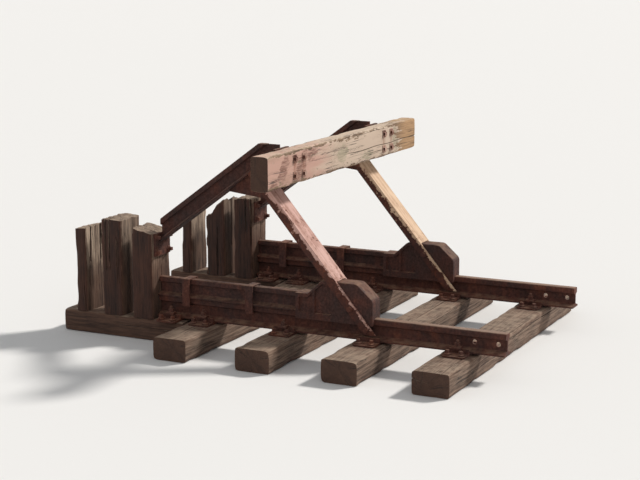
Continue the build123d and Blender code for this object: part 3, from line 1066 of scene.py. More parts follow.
class TimberBox:
    """A CAD node's box as its timber lies: along the grain, and the section across it."""

    def __init__(self, node: str, grain: Grain) -> None:
        """Reads the node's corners and turns them to the grain.

        Args:
            node: The CAD node.
            grain: The direction of its grain.
        """
        low, high = (np.array(corner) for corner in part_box(node))
        self.axis = grain.value
        self.side = [(1, 2), (2, 0), (0, 1)][self.axis]
        self.low = low[self.axis]
        self.high = high[self.axis]
        self.half = (high[list(self.side)] - low[list(self.side)]) / 2
        self.middle = (high[list(self.side)] + low[list(self.side)]) / 2
        self.length = self.high - self.low
        self.around = 4 * self.half.sum()

    def cells(self, each: float, least: int) -> int:
        """Counts the lattice cells of about a length in metres that fit along it, with a least number."""
        return max(least, int(self.length / each))

    def placed(self, across: np.ndarray, along: np.ndarray | float) -> np.ndarray:
        """Puts section coordinates and a place along the grain into the part's own axes.

        Args:
            across: Pairs across the grain, from the section's middle.
            along: Places along the grain.

        Returns:
            The points, one row each.
        """
        points = np.zeros((*across.shape[:-1], 3))
        points[..., self.side[0]] = across[..., 0] + self.middle[0]
        points[..., self.side[1]] = across[..., 1] + self.middle[1]
        points[..., self.axis] = along
        return points.reshape(-1, 3)

    def loop(self, places: np.ndarray, radius: float) -> tuple[np.ndarray, np.ndarray, np.ndarray]:
        """Walks round the section, a rectangle with rounded corners, at the given shares of its length.

        Each place is turned into a distance along the outline: a straight side, a quarter circle, and so on.
        How near a corner it is falls off as exp(-distance / EDGE_REACH).

        Args:
            places: Shares of the way round, 0 to 1.
            radius: Radius of the corners.

        Returns:
            The points, their outward directions, and how near a corner each one is, 0 to 1.
        """
        straight = 2 * (self.half - radius)
        arc = math.pi / 2 * radius
        starts = np.concatenate([[0], np.cumsum([straight[1], arc, straight[0], arc] * 2)])
        distance = (places % 1.0) * starts[-1]
        part = np.clip(np.searchsorted(starts, distance, side="right") - 1, 0, 7)
        step = distance - starts[part]
        quarter = part // 2
        on_arc = part % 2 == 1
        turn = quarter * math.pi / 2 + np.where(on_arc, step / radius, 0.0)
        outward = np.stack([np.cos(turn), np.sin(turn)], axis=-1)
        heading = np.stack([-np.sin(quarter * math.pi / 2), np.cos(quarter * math.pi / 2)], axis=-1)
        centres = np.array([[1, -1], [1, 1], [-1, 1], [-1, -1]]) * (self.half - radius)
        straight_point = centres[quarter] + heading * step[..., None] + outward * radius
        arc_point = centres[(quarter + 1) % 4] + outward * radius
        points = np.where(on_arc[..., None], arc_point, straight_point)
        side_length = np.where(quarter % 2 == 0, straight[1], straight[0])
        edge_gap = np.where(on_arc, 0.0, np.minimum(step, side_length - step))
        return points, outward, np.exp(-edge_gap / EDGE_REACH)


@dataclass(frozen=True)
class Check:
    """One drying crack on a timber.

    Attributes:
        place: Where it runs on the way round the section, 0 to 1.
        start: Where it begins along the timber, 0 to 1.
        end: Where it ends along the timber, 0 to 1.
        width: Its half width in metres.
        depth: Its depth in metres.
    """

    place: float
    start: float
    end: float
    width: float
    depth: float

    def opening(self, s: np.ndarray, t: np.ndarray, around: float) -> np.ndarray:
        """Says how open it is: it falls off to its sides and closes towards its ends.

        Args:
            s: Shares of the way round the section.
            t: Shares of the way along the timber.
            around: The way round the section in metres.

        Returns:
            Its opening at each place, 0 to 1.
        """
        taper = 0.12
        gap = np.abs((s - self.place + 0.5) % 1.0 - 0.5) * around
        begun = smooth_step(self.start, self.start + taper, t)
        closed = smooth_step(self.end - taper, self.end, t)
        return np.clip(1 - gap / self.width, 0, 1) * (begun * (1 - closed))


@dataclass(frozen=True)
class Rim:
    """The ring of corners where a timber's long faces meet an end face.

    Attributes:
        places: Shares of the way round the section, 0 to 1.
        across: The corners' places across the grain.
        opening: How open the cracks are at each corner, 0 to 1.
        first: Number of the first corner.
        at_top: Whether it is at the high end along the grain.
    """

    places: np.ndarray
    across: np.ndarray
    opening: np.ndarray
    first: int
    at_top: bool


@dataclass
class TimberBlock:
    """A weathered timber of a CAD node's size: rounded corners, open cracks and end grain.

    Attributes:
        name: The piece's name.
        node: The CAD node that it stands for.
        grain: The direction of its grain.
        seed: Seed of its weathering.
        corner: Radius of its long corners in metres.
        wear: How far the long corners have gone in places, in metres.
        checks: How many cracks run along it.
        splits: How many wide splits run down from its top.
        stations: Rings along its length.
        crest: For an upright, pairs of station and height of its top, in metres.
        splinter: Depth of the broken fibres at its top, in metres.
        wave: Depth of the slow wave over its faces, in metres.
        wander: How far its corners drift round the section on the way along it, in metres.
        check_width: Least and greatest half width of a crack, in metres.
        check_depth: Least and greatest depth of a crack, in metres.
        split_width: Least and greatest half width of a wide split, in metres.
        split_depth: Least and greatest depth of a wide split, in metres.
        end_rough: Mean depth of an end face's roughness, in metres.
        end_groove: Depth of the cracks in an end face, in metres.
    """

    name: str
    node: str
    grain: Grain
    seed: int
    corner: float = 0.011
    wear: float = 0.007
    checks: int = 7
    splits: int = 0
    stations: int = 90
    crest: Profile = ()
    splinter: float = 0.004
    wave: float = 0.0014
    wander: float = 0.006
    check_width: tuple[float, float] = (0.0022, 0.0048)
    check_depth: tuple[float, float] = (0.007, 0.017)
    split_width: tuple[float, float] = (0.005, 0.008)
    split_depth: tuple[float, float] = (0.022, 0.034)
    end_rough: float = 0.0012
    end_groove: float = 0.012

    def build(self, material: bpy.types.Material, slot: str) -> bpy.types.Object:
        """Works the timber out and puts it in place of its CAD node.

        A point of the long faces is low + t * length along the grain and loop(s) across it, drawn in by the
        cracks, the worn corners and a slow wave.

        Args:
            material: Its material.
            slot: The record's material slot; not used.

        Returns:
            The new piece.
        """
        rng = np.random.default_rng(self.seed)
        box = TimberBox(self.node, self.grain)
        cracks = self._cracks(rng)
        s = self._places(box, cracks)
        beside_ends = [0.004, 0.012, 0.988, 0.996]
        t = np.unique(np.concatenate([np.linspace(0, 1, self.stations), beside_ends]))
        grid_s, grid_t = np.meshgrid(s, t)
        drift_cell, wave_cell, chew_cell = 0.25, 0.16, 0.09
        flat = np.zeros_like(grid_t)
        drift = self.wander / box.around * lattice_noise(rng, grid_t, flat, box.cells(drift_cell, 3), 1)
        loop, outward, edge = box.loop(grid_s + drift, self.corner)
        openings = np.array([crack.opening(grid_s, grid_t, box.around) for crack in cracks])
        depths = np.array([crack.depth for crack in cracks])[:, None, None]
        wave = 0.5 + 0.5 * lattice_noise(rng, grid_s, grid_t, 10, box.cells(wave_cell, 4), True)
        chew = np.clip(lattice_noise(rng, grid_s, grid_t, 14, box.cells(chew_cell, 5), True), 0, 1)
        sunk = (openings * depths).max(0) + self.wave * wave + self.wear * edge * (0.25 + chew)
        across = loop - outward * sunk[..., None]
        reach = self._top_height(box, across) - box.low if self.crest else box.length
        opening = openings.max(0)
        parts = [box.placed(across, box.low + grid_t * reach)]
        faces = ring_faces(len(t), len(s))
        values = {"check": [opening.ravel()], "worn": [(edge * 0.9).ravel()], "end": [np.zeros(opening.size)]}
        for row, at_top in ((0, False), (len(t) - 1, True)):
            rim = Rim(s, across[row], opening[row], row * len(s), at_top)
            cap, cap_faces, cap_values = self._end_face(rng, box, rim, sum(len(part) for part in parts))
            parts.append(cap)
            faces += cap_faces
            for key, found in cap_values.items():
                values[key].append(found)
        points = np.concatenate(parts)
        attributes = {key: np.concatenate(found) for key, found in values.items()}
        pith = box.placed(rng.uniform(-0.5, 0.5, 2) * box.half, box.low - self.seed * SEED_SHIFT)
        attributes["grain"] = (points - pith)[:, [*box.side, box.axis]]
        piece = make_object(self.name, Shell(points, faces), material, 50.0, attributes)
        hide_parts(self.node)
        return piece

    def _cracks(self, rng: np.random.Generator) -> list[Check]:
        """Draws the drying cracks, and the wide splits that run out at the top.

        Args:
            rng: Seeded generator.

        Returns:
            The cracks and then the splits.
        """
        def draw(*spans: tuple[float, float]) -> list[float]:
            """Draws one number from each span."""
            return [float(rng.uniform(*span)) for span in spans]

        anywhere, check_starts, check_lengths = (0, 1), (-0.2, 0.75), (0.2, 0.7)
        split_starts, past_the_top = (0.25, 0.6), 1.3
        cracks = [Check(*draw(anywhere, check_starts), 0.0, *draw(self.check_width, self.check_depth))
                  for _ in range(self.checks)]
        cracks = [replace(crack, end=crack.start + draw(check_lengths)[0]) for crack in cracks]
        splits = [Check(*draw(anywhere, split_starts), past_the_top,
                        *draw(self.split_width, self.split_depth))
                  for _ in range(self.splits)]
        return cracks + splits

    def _places(self, box: TimberBox, cracks: Sequence[Check]) -> np.ndarray:
        """Spaces the corners round the section, with three more at each crack: its sides and its bottom.

        Args:
            box: The timber's box.
            cracks: Its cracks.

        Returns:
            Shares of the way round, 0 to 1, in rising order.
        """
        spacing = 0.007 if self.crest else 0.016
        across_crack = np.array([-1.0, 0.0, 1.0])
        places = [np.linspace(0, 1, int(box.around / spacing), endpoint=False)]
        places += [(crack.place + across_crack * crack.width / box.around) % 1.0 for crack in cracks]
        return np.unique(np.concatenate(places).round(6))

    def _end_face(self, rng: np.random.Generator, box: TimberBox, rim: Rim, start: int
                  ) -> tuple[np.ndarray, list[Sequence[int]], dict[str, np.ndarray]]:
        """Works out one end face: its rim shrunk to the middle in rings, with the cracks running in.

        A sawn end lies within the box's end by its roughness, and a torn top lies at the crest. Both are cut
        in along the cracks by end_groove * opening * (1.6 share - 0.25), the last factor held at 0 to 1.

        Args:
            rng: Seeded generator.
            box: The timber's box.
            rim: The ring of corners that it starts from.
            start: Number of the first new corner.

        Returns:
            The new corners, the faces and the values on the new corners.
        """
        torn = rim.at_top and bool(self.crest)
        shares = TORN_RINGS if torn else SAWN_RINGS
        rings = shares[:, None]
        cap = rim.across[None, :, :] * rings[..., None]
        cells_round, cells_in, worn_reach = 40, 6, 0.06
        rough = lattice_noise(rng, *np.meshgrid(rim.places, shares), cells_round, cells_in, True)
        grooves = rim.opening * np.clip(rings * 1.6 - 0.25, 0, 1) * self.end_groove
        dip = self.end_rough * (1 + rough) + grooves
        if torn:
            level = self._top_height(box, cap) - grooves
        else:
            level = box.high - dip if rim.at_top else box.low + dip
        centre = box.placed(np.zeros((1, 2)), level[-1].mean())
        points = np.concatenate([box.placed(cap, level), centre])
        count = len(rim.places)
        numbers = start + np.arange(len(shares) * count).reshape(-1, count)
        index = np.vstack([rim.first + np.arange(count), numbers])
        here, after, inner = index[:-1], index[1:], index[-1]
        quads = np.stack([here, np.roll(here, -1, 1), np.roll(after, -1, 1), after], axis=-1).reshape(-1, 4)
        fan = np.column_stack([inner, np.roll(inner, -1), np.full(count, start + len(points) - 1)])
        if not rim.at_top:
            quads, fan = quads[:, ::-1], fan[:, [1, 0, 2]]
        faces = [tuple(face) for face in quads.tolist() + fan.tolist()]
        worn = np.exp(-(1 - rings) / worn_reach) * np.ones(count)
        values = {"check": np.append(rim.opening * rings, 0.0), "worn": np.append(worn, 0.0),
                  "end": np.ones(len(points))}
        return points, faces, values

    def _top_height(self, box: TimberBox, across: np.ndarray) -> np.ndarray:
        """Gives an upright's top at each place across it: the crest line less the torn fibres' depth.

        The depth is splinter * (0.8 steps + 0.2 teeth): noise that is long along the growth rings and narrow
        across them, rounded to five terraces, and fine noise of the same run. The growth rings bow by a
        tenth of the section. A last half millimetre keeps the fibres inside the CAD node.

        Args:
            box: The timber's box.
            across: Places across the grain.

        Returns:
            The height above the ground at each of them.
        """
        bow, terraces, inside = 0.10, 5.0, 0.0005
        rng = np.random.default_rng(self.seed + 1000)
        u, v = (across[..., k] / (2 * box.half[k]) + 0.5 for k in (0, 1))
        v = v + bow * (u - 0.5) ** 2
        clumps = terraces / 2 + terraces / 2 * lattice_noise(rng, u, v, 3, 13)
        steps = (np.floor(clumps) + smooth_step(0.25, 0.75, clumps % 1.0)) / terraces
        teeth = np.abs(lattice_noise(rng, u, v, 6, 30))
        stations, heights = zip(*self.crest)
        line = np.interp(across[..., 0] + box.middle[0], stations, heights)
        return line - self.splinter * (0.8 * steps + 0.2 * teeth) - inside


@dataclass
class TimberWork:
    """The sleepers, the sole timbers, the upright stubs and the beam.

    Attributes:
        crests: Side views of the uprights' tops by side and place: station, and height above the rail, in
            metres. On the right two are broken.
        first_seeds: The seed of each side's sole timber and of its first upright.
    """

    crests: dict[Side, dict[str, Profile]] = field(default_factory=lambda: {
        Side.LEFT: {"front": ((-1.107, 0.497), (-1.060, 0.488), (-0.937, 0.460)),
                    "middle": ((-1.366, 0.538), (-1.280, 0.545), (-1.194, 0.540)),
                    "rear": ((-1.595, 0.452), (-1.500, 0.462))},
        Side.RIGHT: {"front": ((-1.107, 0.478), (-1.010, 0.492), (-0.937, 0.486)),
                     "middle": ((-1.366, 0.330), (-1.310, 0.352), (-1.268, 0.418), (-1.194, 0.470)),
                     "rear": ((-1.595, 0.322), (-1.500, 0.345))}})
    first_seeds: dict[Side, tuple[int, int]] = field(
        default_factory=lambda: {Side.LEFT: (61, 70), Side.RIGHT: (62, 80)})

    def build(self, palette: Palette) -> list[bpy.types.Object]:
        """Builds every timber in its CAD node's place.

        Args:
            palette: The materials.

        Returns:
            The new pieces.
        """
        made = []
        for number in range(1, 5):
            block = TimberBlock(f"sleeper_timber_{number}", f"sleeper_{number}", Grain.ACROSS_TRACK,
                                seed=40 + number, wear=0.010, checks=9, stations=110)
            made.append(block.build(palette.sleeper, "sleeper_timber"))
        for side in Side:
            sole_seed, post_seed = self.first_seeds[side]
            sole = TimberBlock(f"sole_block_{side.value}", f"sole_timber_{side.value}", Grain.ALONG_TRACK,
                               seed=sole_seed, wear=0.008, checks=6, stations=60)
            made.append(sole.build(palette.sleeper, "sleeper_timber"))
            for seed, (place, crest) in enumerate(self.crests[side].items(), start=post_seed):
                broken = side is Side.RIGHT and place != "front"
                stub = TimberBlock(f"upright_{place}_{side.value}", f"post_{place}_{side.value}",
                                   Grain.UPRIGHT, seed, wear=0.012, checks=9, splits=3, stations=60,
                                   crest=[(x, height + RAIL_TOP) for x, height in crest],
                                   splinter=0.035 if broken else 0.012)
                # The rear stubs take the lit copy of the post timber.
                finish = palette.sunlit_rear_post if place == "rear" else palette.post
                made.append(stub.build(finish, "post_timber"))
        plank = TimberBlock("beam_plank", "buffer_beam", Grain.ACROSS_TRACK, seed=97, corner=0.012,
                            wear=0.006, stations=120)
        made.append(plank.build(palette.beam, "beam_timber"))
        return made


@dataclass(frozen=True)
class Fastening:
    """Shapes of the small fastenings, each standing on z = 0 and pointing up, in metres.

    Attributes:
        sides: Corners on a round ring.
        washer_thick: Thickness of a round washer.
        thread_pitch: The least distance of a stud's threads.
    """

    sides: int = 20
    washer_thick: float = 0.004
    thread_pitch: float = 0.0025

    def hex_head(self, height: float, washer: float = 0.0) -> Shell:
        """A hexagon head or nut with a rounded rim, on a washer where one is given.

        Args:
            height: The head's height, of which the last seventh is drawn in.
            washer: The washer's diameter, or zero.

        Returns:
            The head.
        """
        base = self.washer_thick if washer else 0.0
        wide = BOLT_FLATS / 2
        head = revolved([(wide, base), (wide, base + height * 0.86), (wide * 0.93, base + height)], 24, 6)
        if not washer:
            return head
        rim = washer / 2
        disc = [(rim * 0.97, 0.0), (rim, 0.001), (rim, base - 0.001), (rim * 0.96, base)]
        return Shell.joined([revolved(disc, self.sides), head])

    def nut_on_stud(self, height: float, stud: float, above: float, washer: float) -> Shell:
        """A nut on its washer, and the end of its stud, whose rings of two radii in turn make the thread.

        Args:
            height: The nut's height.
            stud: The stud's diameter.
            above: How far the stud stands out of the nut.
            washer: The washer's diameter.

        Returns:
            The nut, washer and stud.
        """
        radius = stud / 2
        top = self.washer_thick + height
        turns = max(2, int(above / self.thread_pitch))
        pitch = above / turns
        rows = [(radius, top - 0.002)]
        for i in range(turns):
            rows += [(radius, top + i * pitch), (radius * 0.88, top + (i + 0.5) * pitch)]
        rows += [(radius * 0.92, top + above), (radius * 0.7, top + above + 0.0015)]
        return Shell.joined([self.hex_head(height, washer), revolved(rows, 16)])

    def coach_screw(self) -> Shell:
        """A coach screw: a flange domed as a quarter of an ellipse, and a square head with a drawn-in top.

        Returns:
            The screw.
        """
        dome = [(0.026 * math.cos(a), 0.012 * math.sin(a)) for a in np.linspace(0.0, 1.05, 7)]
        flange = revolved([(0.0255, -0.0005), *dome], self.sides)
        head = revolved([(0.012, 0.008), (0.012, 0.027), (0.0105, 0.030)], 16, 4)
        return Shell.joined([flange, head])

    def square_washer(self, size: float, thick: float) -> Shell:
        """A square plate washer with softened rims."""
        h = size / 2
        return extruded([(-h, -h), (h, -h), (h, h), (-h, h)], thick)


@dataclass
class TrackFastenings:
    """Clips, hook bolts and coach screws on the ribbed base plates.

    Attributes:
        plate_thick: Thickness of the base plates.
        screw_reach: Distance of a screw from the plate's middle across the track.
        screw_spacing: Distance of a screw from the plate's middle along the track.
        clip_middle: Distance of the hook bolt from the rail's middle.
        clip_back: Height of the clip's back above the plate, on which the nut sits.
        clip_width: The clip's size along the track.
        clip_outline: The clip seen along the rail, its first axis pointing away from the rail: its toe on the
            rail's foot, its heel on the rib, its back arched.
        bare_plate: Number of the plate that has no clips, because the strut stands there.
    """

    plate_thick: float = 0.016
    screw_reach: float = 0.138
    screw_spacing: float = 0.048
    clip_middle: float = 0.0765
    clip_back: float = 0.0452
    clip_width: float = 0.062
    clip_outline: Profile = (
        (0.051, 0.0145), (0.060, 0.0122), (0.0635, 0.0306), (0.093, 0.0306), (0.099, 0.0255), (0.104, 0.0260),
        (0.104, 0.036), (0.097, 0.044), (0.083, 0.0465), (0.066, 0.0455), (0.054, 0.036), (0.0505, 0.026))
    bare_plate: int = 2

    def build(self, shapes: Fastening, palette: Palette) -> list[bpy.types.Object]:
        """Builds one piece of clips and one of screws for each side.

        Args:
            shapes: The fastenings' shapes.
            palette: The materials.

        Returns:
            The new pieces.
        """
        made = []
        for side in Side:
            clips: list[Shell] = []
            screws: list[Shell] = []
            for number in range(1, 6):
                low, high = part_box(f"base_plate_{side.value}_{number}")
                x = (low.x + high.x) / 2
                top = low.z + self.plate_thick
                rng = np.random.default_rng(500 + number)
                for away in (-1.0, 1.0):
                    for along in (-1.0, 1.0):
                        place = (x + along * self.screw_spacing, side.y + away * self.screw_reach, top)
                        screws.append(shapes.coach_screw().moved(place, *spun(rng.uniform(0, 1.5))))
                    if number == self.bare_plate:
                        continue
                    clip = extruded(self.clip_outline, self.clip_width, 0.0012)
                    start = (x - away * self.clip_width / 2, side.y, top)
                    clips.append(clip.moved(start, (0, away, 0), (0, 0, 1)))
                    nut = shapes.nut_on_stud(height=0.020, stud=0.022, above=0.016, washer=0.044)
                    place = (x, side.y + away * self.clip_middle, top + self.clip_back)
                    clips.append(nut.moved(place, *spun(rng.uniform(0, 1.0))))
            for name, shells in (("rail_clips", clips), ("plate_screws", screws)):
                made.append(side_piece(name, side, shells, palette.fastening))
        return made


@dataclass
class BeamBolts:
    """Through-bolts that hold the beam to the two head brackets.

    Attributes:
        heights: Heights of the bolts above the beam's underside.
        washer: Size of the square washers.
        washer_sunk: How deep the washers sit in the beam's face, which is half their thickness.
    """

    heights: tuple[float, float] = (0.062, 0.176)
    washer: float = 0.056
    washer_sunk: float = 0.003

    def build(self, shapes: Fastening, palette: Palette) -> list[bpy.types.Object]:
        """Builds the heads on the beam's face and the nuts behind the plates.

        Args:
            shapes: The fastenings' shapes.
            palette: The materials.

        Returns:
            The new pieces.
        """
        made = []
        low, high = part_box("buffer_beam")
        for side in Side:
            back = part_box(f"head_bracket_{side.value}")[1].x - HEAD_PLATE
            heads: list[Shell] = []
            nuts: list[Shell] = []
            for away in (-BEAM_BOLT_ACROSS, BEAM_BOLT_ACROSS):
                for height in self.heights:
                    y, z = side.y + away, low.z + height
                    plate = shapes.square_washer(self.washer, 2 * self.washer_sunk)
                    heads.append(plate.moved((high.x - self.washer_sunk, y, z), (0, 1, 0), (0, 0, 1)))
                    head = shapes.hex_head(height=0.015)
                    heads.append(head.moved((high.x + self.washer_sunk, y, z), (0, 1, 0), (0, 0, 1)))
                    nut = shapes.nut_on_stud(height=0.019, stud=0.024, above=0.022, washer=0.046)
                    nuts.append(nut.moved((back, y, z), (0, -1, 0), (0, 0, 1)))
            made.append(side_piece("beam_bolt_heads", side, heads, palette.bolt_head))
            made.append(side_piece("beam_bolt_nuts", side, nuts, palette.fastening))
        return made


class WeldKind(Enum):
    """How heavy a weld bead is: its radius in metres."""

    LIGHT = 0.004
    HEAVY = 0.0065


@dataclass
class FrameWelds:
    """Weld beads along the ribs, the gussets and the mitred strut.

    Attributes:
        strut_slope: Rise of the struts for each metre along the track.
        raker_slope: Rise of the rakers for each metre along the track.
        raker_start: Station and height above the rail of a point on the rakers' underside.
        rib_face: Distance of a rib's face from the rail's middle.
        gusset_face: Distance of a gusset's face from the rail's middle.
        rib_bead: Heights above the bracket's lower edge between which a bead runs up the rib.
        gusset_gaps: How far a gusset's bead stays from its back end and from the mitre.
        mitre_half: Half the length of the bead across the mitre.
        mitre_lift: How far in front of the mitre and above it that bead lies.
    """

    strut_slope: float = math.tan(math.radians(STRUT_DEGREES))
    raker_slope: float = 0.710 / 0.967
    raker_start: tuple[float, float] = (0.030, 1.091)
    rib_face: float = 0.0105
    gusset_face: float = 0.0065
    rib_bead: tuple[float, float] = (0.010, 0.222)
    gusset_gaps: tuple[float, float] = (0.010, 0.012)
    mitre_half: float = 0.052
    mitre_lift: tuple[float, float] = (0.002, 0.001)

    def bead(self, start: Sequence[float], end: Sequence[float], kind: WeldKind, seed: int) -> Shell:
        """A hand-laid bead: a straight run whose radius swells by |sin| at each pass and wanders a little.

        Args:
            start: Where it starts.
            end: Where it ends.
            kind: How heavy it is.
            seed: Seed of its wander.

        Returns:
            The bead.
        """
        ring_step, each_pass, wander = 0.004, 0.011, 0.0004
        rng = np.random.default_rng(seed)
        a, b = np.array(start, float), np.array(end, float)
        length = float(np.linalg.norm(b - a))
        count = max(8, int(length / ring_step))
        t = np.linspace(0, 1, count)
        path = a + (b - a) * t[:, None] + rng.normal(0, wander, (count, 3))
        radii = kind.value * (0.82 + 0.18 * np.abs(np.sin(t * length / each_pass * math.pi)))
        radii *= 0.35 + 0.65 * smooth_step(0.0, 0.03, t) * (1 - smooth_step(0.97, 1.0, t))
        return carried(path, radii)

    def build(self, palette: Palette) -> list[bpy.types.Object]:
        """Builds one piece of beads for each side's head joint.

        Args:
            palette: The materials.

        Returns:
            The new pieces.
        """
        made = []
        under = self._raker_under
        for number, side in enumerate(Side):
            low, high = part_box(f"head_bracket_{side.value}")
            back = high.x - HEAD_PLATE
            bottom, top = (low.z + height for height in self.rib_bead)
            mitre = low.x
            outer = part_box(f"head_gusset_{side.value}")[0].x + self.gusset_gaps[0]
            inner = mitre - self.gusset_gaps[1]
            beads: list[Shell] = []
            for away in (-1, 1):
                rib = side.y + away * self.rib_face
                face = side.y + away * self.gusset_face
                runs = (
                    ((back, rib, bottom), (back, rib, top), WeldKind.HEAVY),
                    ((self._strut_front(low.z), rib, low.z), (mitre, rib, under(mitre)), WeldKind.LIGHT),
                    ((outer, face, under(outer)), (inner, face, under(inner)), WeldKind.LIGHT))
                beads += [self.bead(*run, number * 9 + k) for k, run in enumerate(runs, start=1)]
            ahead, above = self.mitre_lift
            ends = [(mitre + ahead, side.y + half, under(mitre) + above)
                    for half in (-self.mitre_half, self.mitre_half)]
            beads.append(self.bead(*ends, WeldKind.HEAVY, number * 9 + 4))
            made.append(side_piece("head_welds", side, beads, palette.fitting, 60.0))
        return made

    def _strut_front(self, height: float) -> float:
        """Where the struts' front face stands at a height."""
        return STRUT_AT_RAIL - (height - RAIL_TOP) / self.strut_slope

    def _raker_under(self, station: float) -> float:
        """How high the rakers' underside is at a station."""
        return RAIL_TOP + self.raker_start[1] + (station - self.raker_start[0]) * self.raker_slope


@dataclass
class FootFastenings:
    """Bolts at the struts' feet and screws in the heel plates.

    Attributes:
        flange_out: Distance of the struts' outer faces from the rail's middle.
        foot_bolts: Station and height of each bolt, in metres.
        heel_screws: Places of the screws: distance from the rail's middle, and height above the plate's edge.
    """

    flange_out: float = 0.080
    foot_bolts: Profile = ((0.600, 0.388), (0.522, 0.480))
    heel_screws: Profile = ((-0.078, 0.03), (-0.078, 0.135), (0.078, 0.03), (0.078, 0.135))

    def build(self, shapes: Fastening, palette: Palette) -> list[bpy.types.Object]:
        """Builds the bolts that hold each shoe between the strut's flanges, and the heel plates' screws.

        Args:
            shapes: The fastenings' shapes.
            palette: The materials.

        Returns:
            The new pieces.
        """
        made = []
        for side in Side:
            head = shapes.hex_head(height=0.015, washer=0.044)
            parts = [head.moved((x, side.y + away * self.flange_out, z), (1, 0, 0), (0, 0, -away))
                     for away in (-1.0, 1.0) for x, z in self.foot_bolts]
            low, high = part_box(f"heel_plate_{side.value}")
            parts += [shapes.coach_screw().moved((high.x, side.y + y, low.z + z), (0, 1, 0), (0, 0, 1))
                      for y, z in self.heel_screws]
            made.append(side_piece("foot_and_heel_bolts", side, parts, palette.fastening))
        return made


class SteelWork:
    """The CAD nodes: the steel keeps its shape and takes a finish, as does the timber under its blocks."""

    def dress(self, palette: Palette, nodes: dict[str, bpy.types.Object]) -> None:
        """Puts each node's material in its slots.

        Args:
            palette: The materials.
            nodes: The CAD nodes by name.
        """
        choice = {
            "running_rail": palette.track, "sill_rail": palette.old_rail, "raker": palette.old_rail,
            "foot_shoe": palette.casting, "base_plate": palette.plate, "sill_strap": palette.fitting,
            "head_bracket": palette.fitting, "head_gusset": palette.fitting, "heel_plate": palette.fitting,
            "foot_bolt": palette.fastening, "strut_left": palette.strut_left,
            "strut_right": palette.strut_right, "sleeper": palette.sleeper, "sole_timber": palette.sleeper,
            "post_": palette.post, "buffer_beam": palette.beam,
        }
        for name, node in nodes.items():
            key = next(k for k in choice if name.startswith(k))
            node.data.materials.clear()
            node.data.materials.append(choice[key])


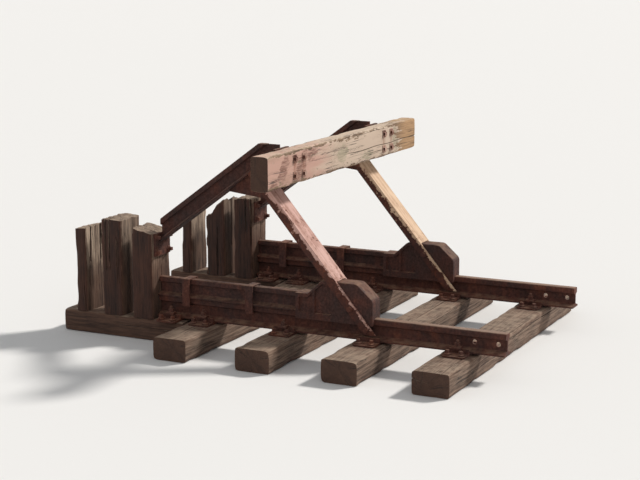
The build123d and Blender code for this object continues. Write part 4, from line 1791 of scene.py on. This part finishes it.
@dataclass
class Studio:
    """Plain floor, soft lights and the camera.

    Attributes:
        eye: The camera's place, from the photograph.
        target: The point it looks at.
        lens: Focal length in millimetres on a 36 mm sensor.
        floor_colour: The floor's colour.
        floor_half: Half the floor's size in metres.
        floor_drop: How far the floor lies under the sleepers.
        backdrop: The sky's colour as the camera sees it, which is the floor's under these lights.
        sky: The sky's strength as a light.
    """

    eye: Triple = (4.93, -10.18, 2.8775)
    target: Triple = (-0.03, 0.0, 0.665)
    lens: float = 88.0
    floor_colour: Colour = (0.835, 0.831, 0.818, 1.0)
    floor_half: float = 150.0
    floor_drop: float = 0.0008
    backdrop: Colour = (0.928, 0.911, 0.877, 1.0)
    sky: float = 0.31

    def build(self) -> None:
        """Sets up the stage."""
        scene = bpy.context.scene
        scene.view_settings.view_transform = "Standard"
        self._camera(scene)
        self._floor()
        self._world(scene)
        self._sun("key_light", (0.69, 0.86, 1.0), 8.0, 3.0, (1.0, 0.965, 0.92))
        self._sun("front_fill", (0.5, -1.0, 0.7), 60.0, 0.37, (0.95, 0.97, 1.0))
        self._sun("rear_fill", (-1.0, -0.2, 0.6), 60.0, 0.25, (0.96, 0.98, 1.0))

    def _camera(self, scene: bpy.types.Scene) -> None:
        """Places the camera where the photographer stood, turned to the buffer stop.

        Args:
            scene: The scene.
        """
        data = bpy.data.cameras.new("photo_camera")
        data.lens = self.lens
        data.sensor_width = 36.0
        data.clip_end = 400.0
        camera = bpy.data.objects.new("photo_camera", data)
        scene.collection.objects.link(camera)
        camera.location = self.eye
        camera.rotation_euler = (Vector(self.target) - Vector(self.eye)).to_track_quat("-Z", "Y").to_euler()
        scene.camera = camera

    def _floor(self) -> None:
        """Lays a wide pale floor just under the sleepers."""
        places = [(x * self.floor_half, y * self.floor_half, -self.floor_drop)
                  for x, y in ((-1, -1), (1, -1), (1, 1), (-1, 1))]
        mesh = bpy.data.meshes.new("floor")
        mesh.from_pydata(places, [], [(0, 1, 2, 3)])
        floor = bpy.data.objects.new("floor", mesh)
        bpy.context.scene.collection.objects.link(floor)
        material = bpy.data.materials.new("floor_pale")
        material.use_nodes = True
        shader = material.node_tree.nodes["Principled BSDF"]
        shader.inputs["Base Color"].default_value = self.floor_colour
        shader.inputs["Roughness"].default_value = 0.95
        mesh.materials.append(material)

    def _world(self, scene: bpy.types.Scene) -> None:
        """Lights all round with an even sky, as pale as the floor to the camera and in reflections.

        Args:
            scene: The scene.
        """
        world = bpy.data.worlds.new("studio_sky")
        world.use_nodes = True
        scene.world = world
        s = Sheet(world.node_tree)
        camera, glossy = (s.made("LightPath", f"Is {kind} Ray", {}) for kind in ("Camera", "Glossy"))
        seen = s.math("MAXIMUM", camera, glossy)
        s.fill(world.node_tree.nodes["Background"], {
            "Strength": s.span(seen, 0.0, 1.0, self.sky, 1.0),
            "Color": s.mix(seen, (0.97, 0.98, 1.0, 1.0), self.backdrop)})

    def _sun(self, name: str, source: Triple, spread: float, strength: float, colour: Triple) -> None:
        """Adds a light as even as the sun's, with a wide and soft disc.

        Args:
            name: The light's name.
            source: The direction that it comes from.
            spread: The disc's width in degrees.
            strength: Its strength.
            colour: Its colour.
        """
        data = bpy.data.lights.new(name, "SUN")
        data.angle = math.radians(spread)
        data.energy = strength
        data.color = colour
        lamp = bpy.data.objects.new(name, data)
        bpy.context.scene.collection.objects.link(lamp)
        lamp.location = Vector(source) * 6.0
        lamp.rotation_euler = Vector(source).to_track_quat("Z", "Y").to_euler()


def main() -> None:
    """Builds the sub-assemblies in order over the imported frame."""
    logging.basicConfig(level=logging.INFO, format="%(message)s")
    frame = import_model()
    Studio().build()
    palette = Palette()
    shapes = Fastening()
    SteelWork().dress(palette, frame["nodes"])
    pieces = TimberWork().build(palette)
    pieces += TrackFastenings().build(shapes, palette)
    pieces += BeamBolts().build(shapes, palette)
    pieces += FrameWelds().build(palette)
    pieces += FootFastenings().build(shapes, palette)
    log.info("%d pieces made", len(pieces))


if __name__ == "__main__":
    main()
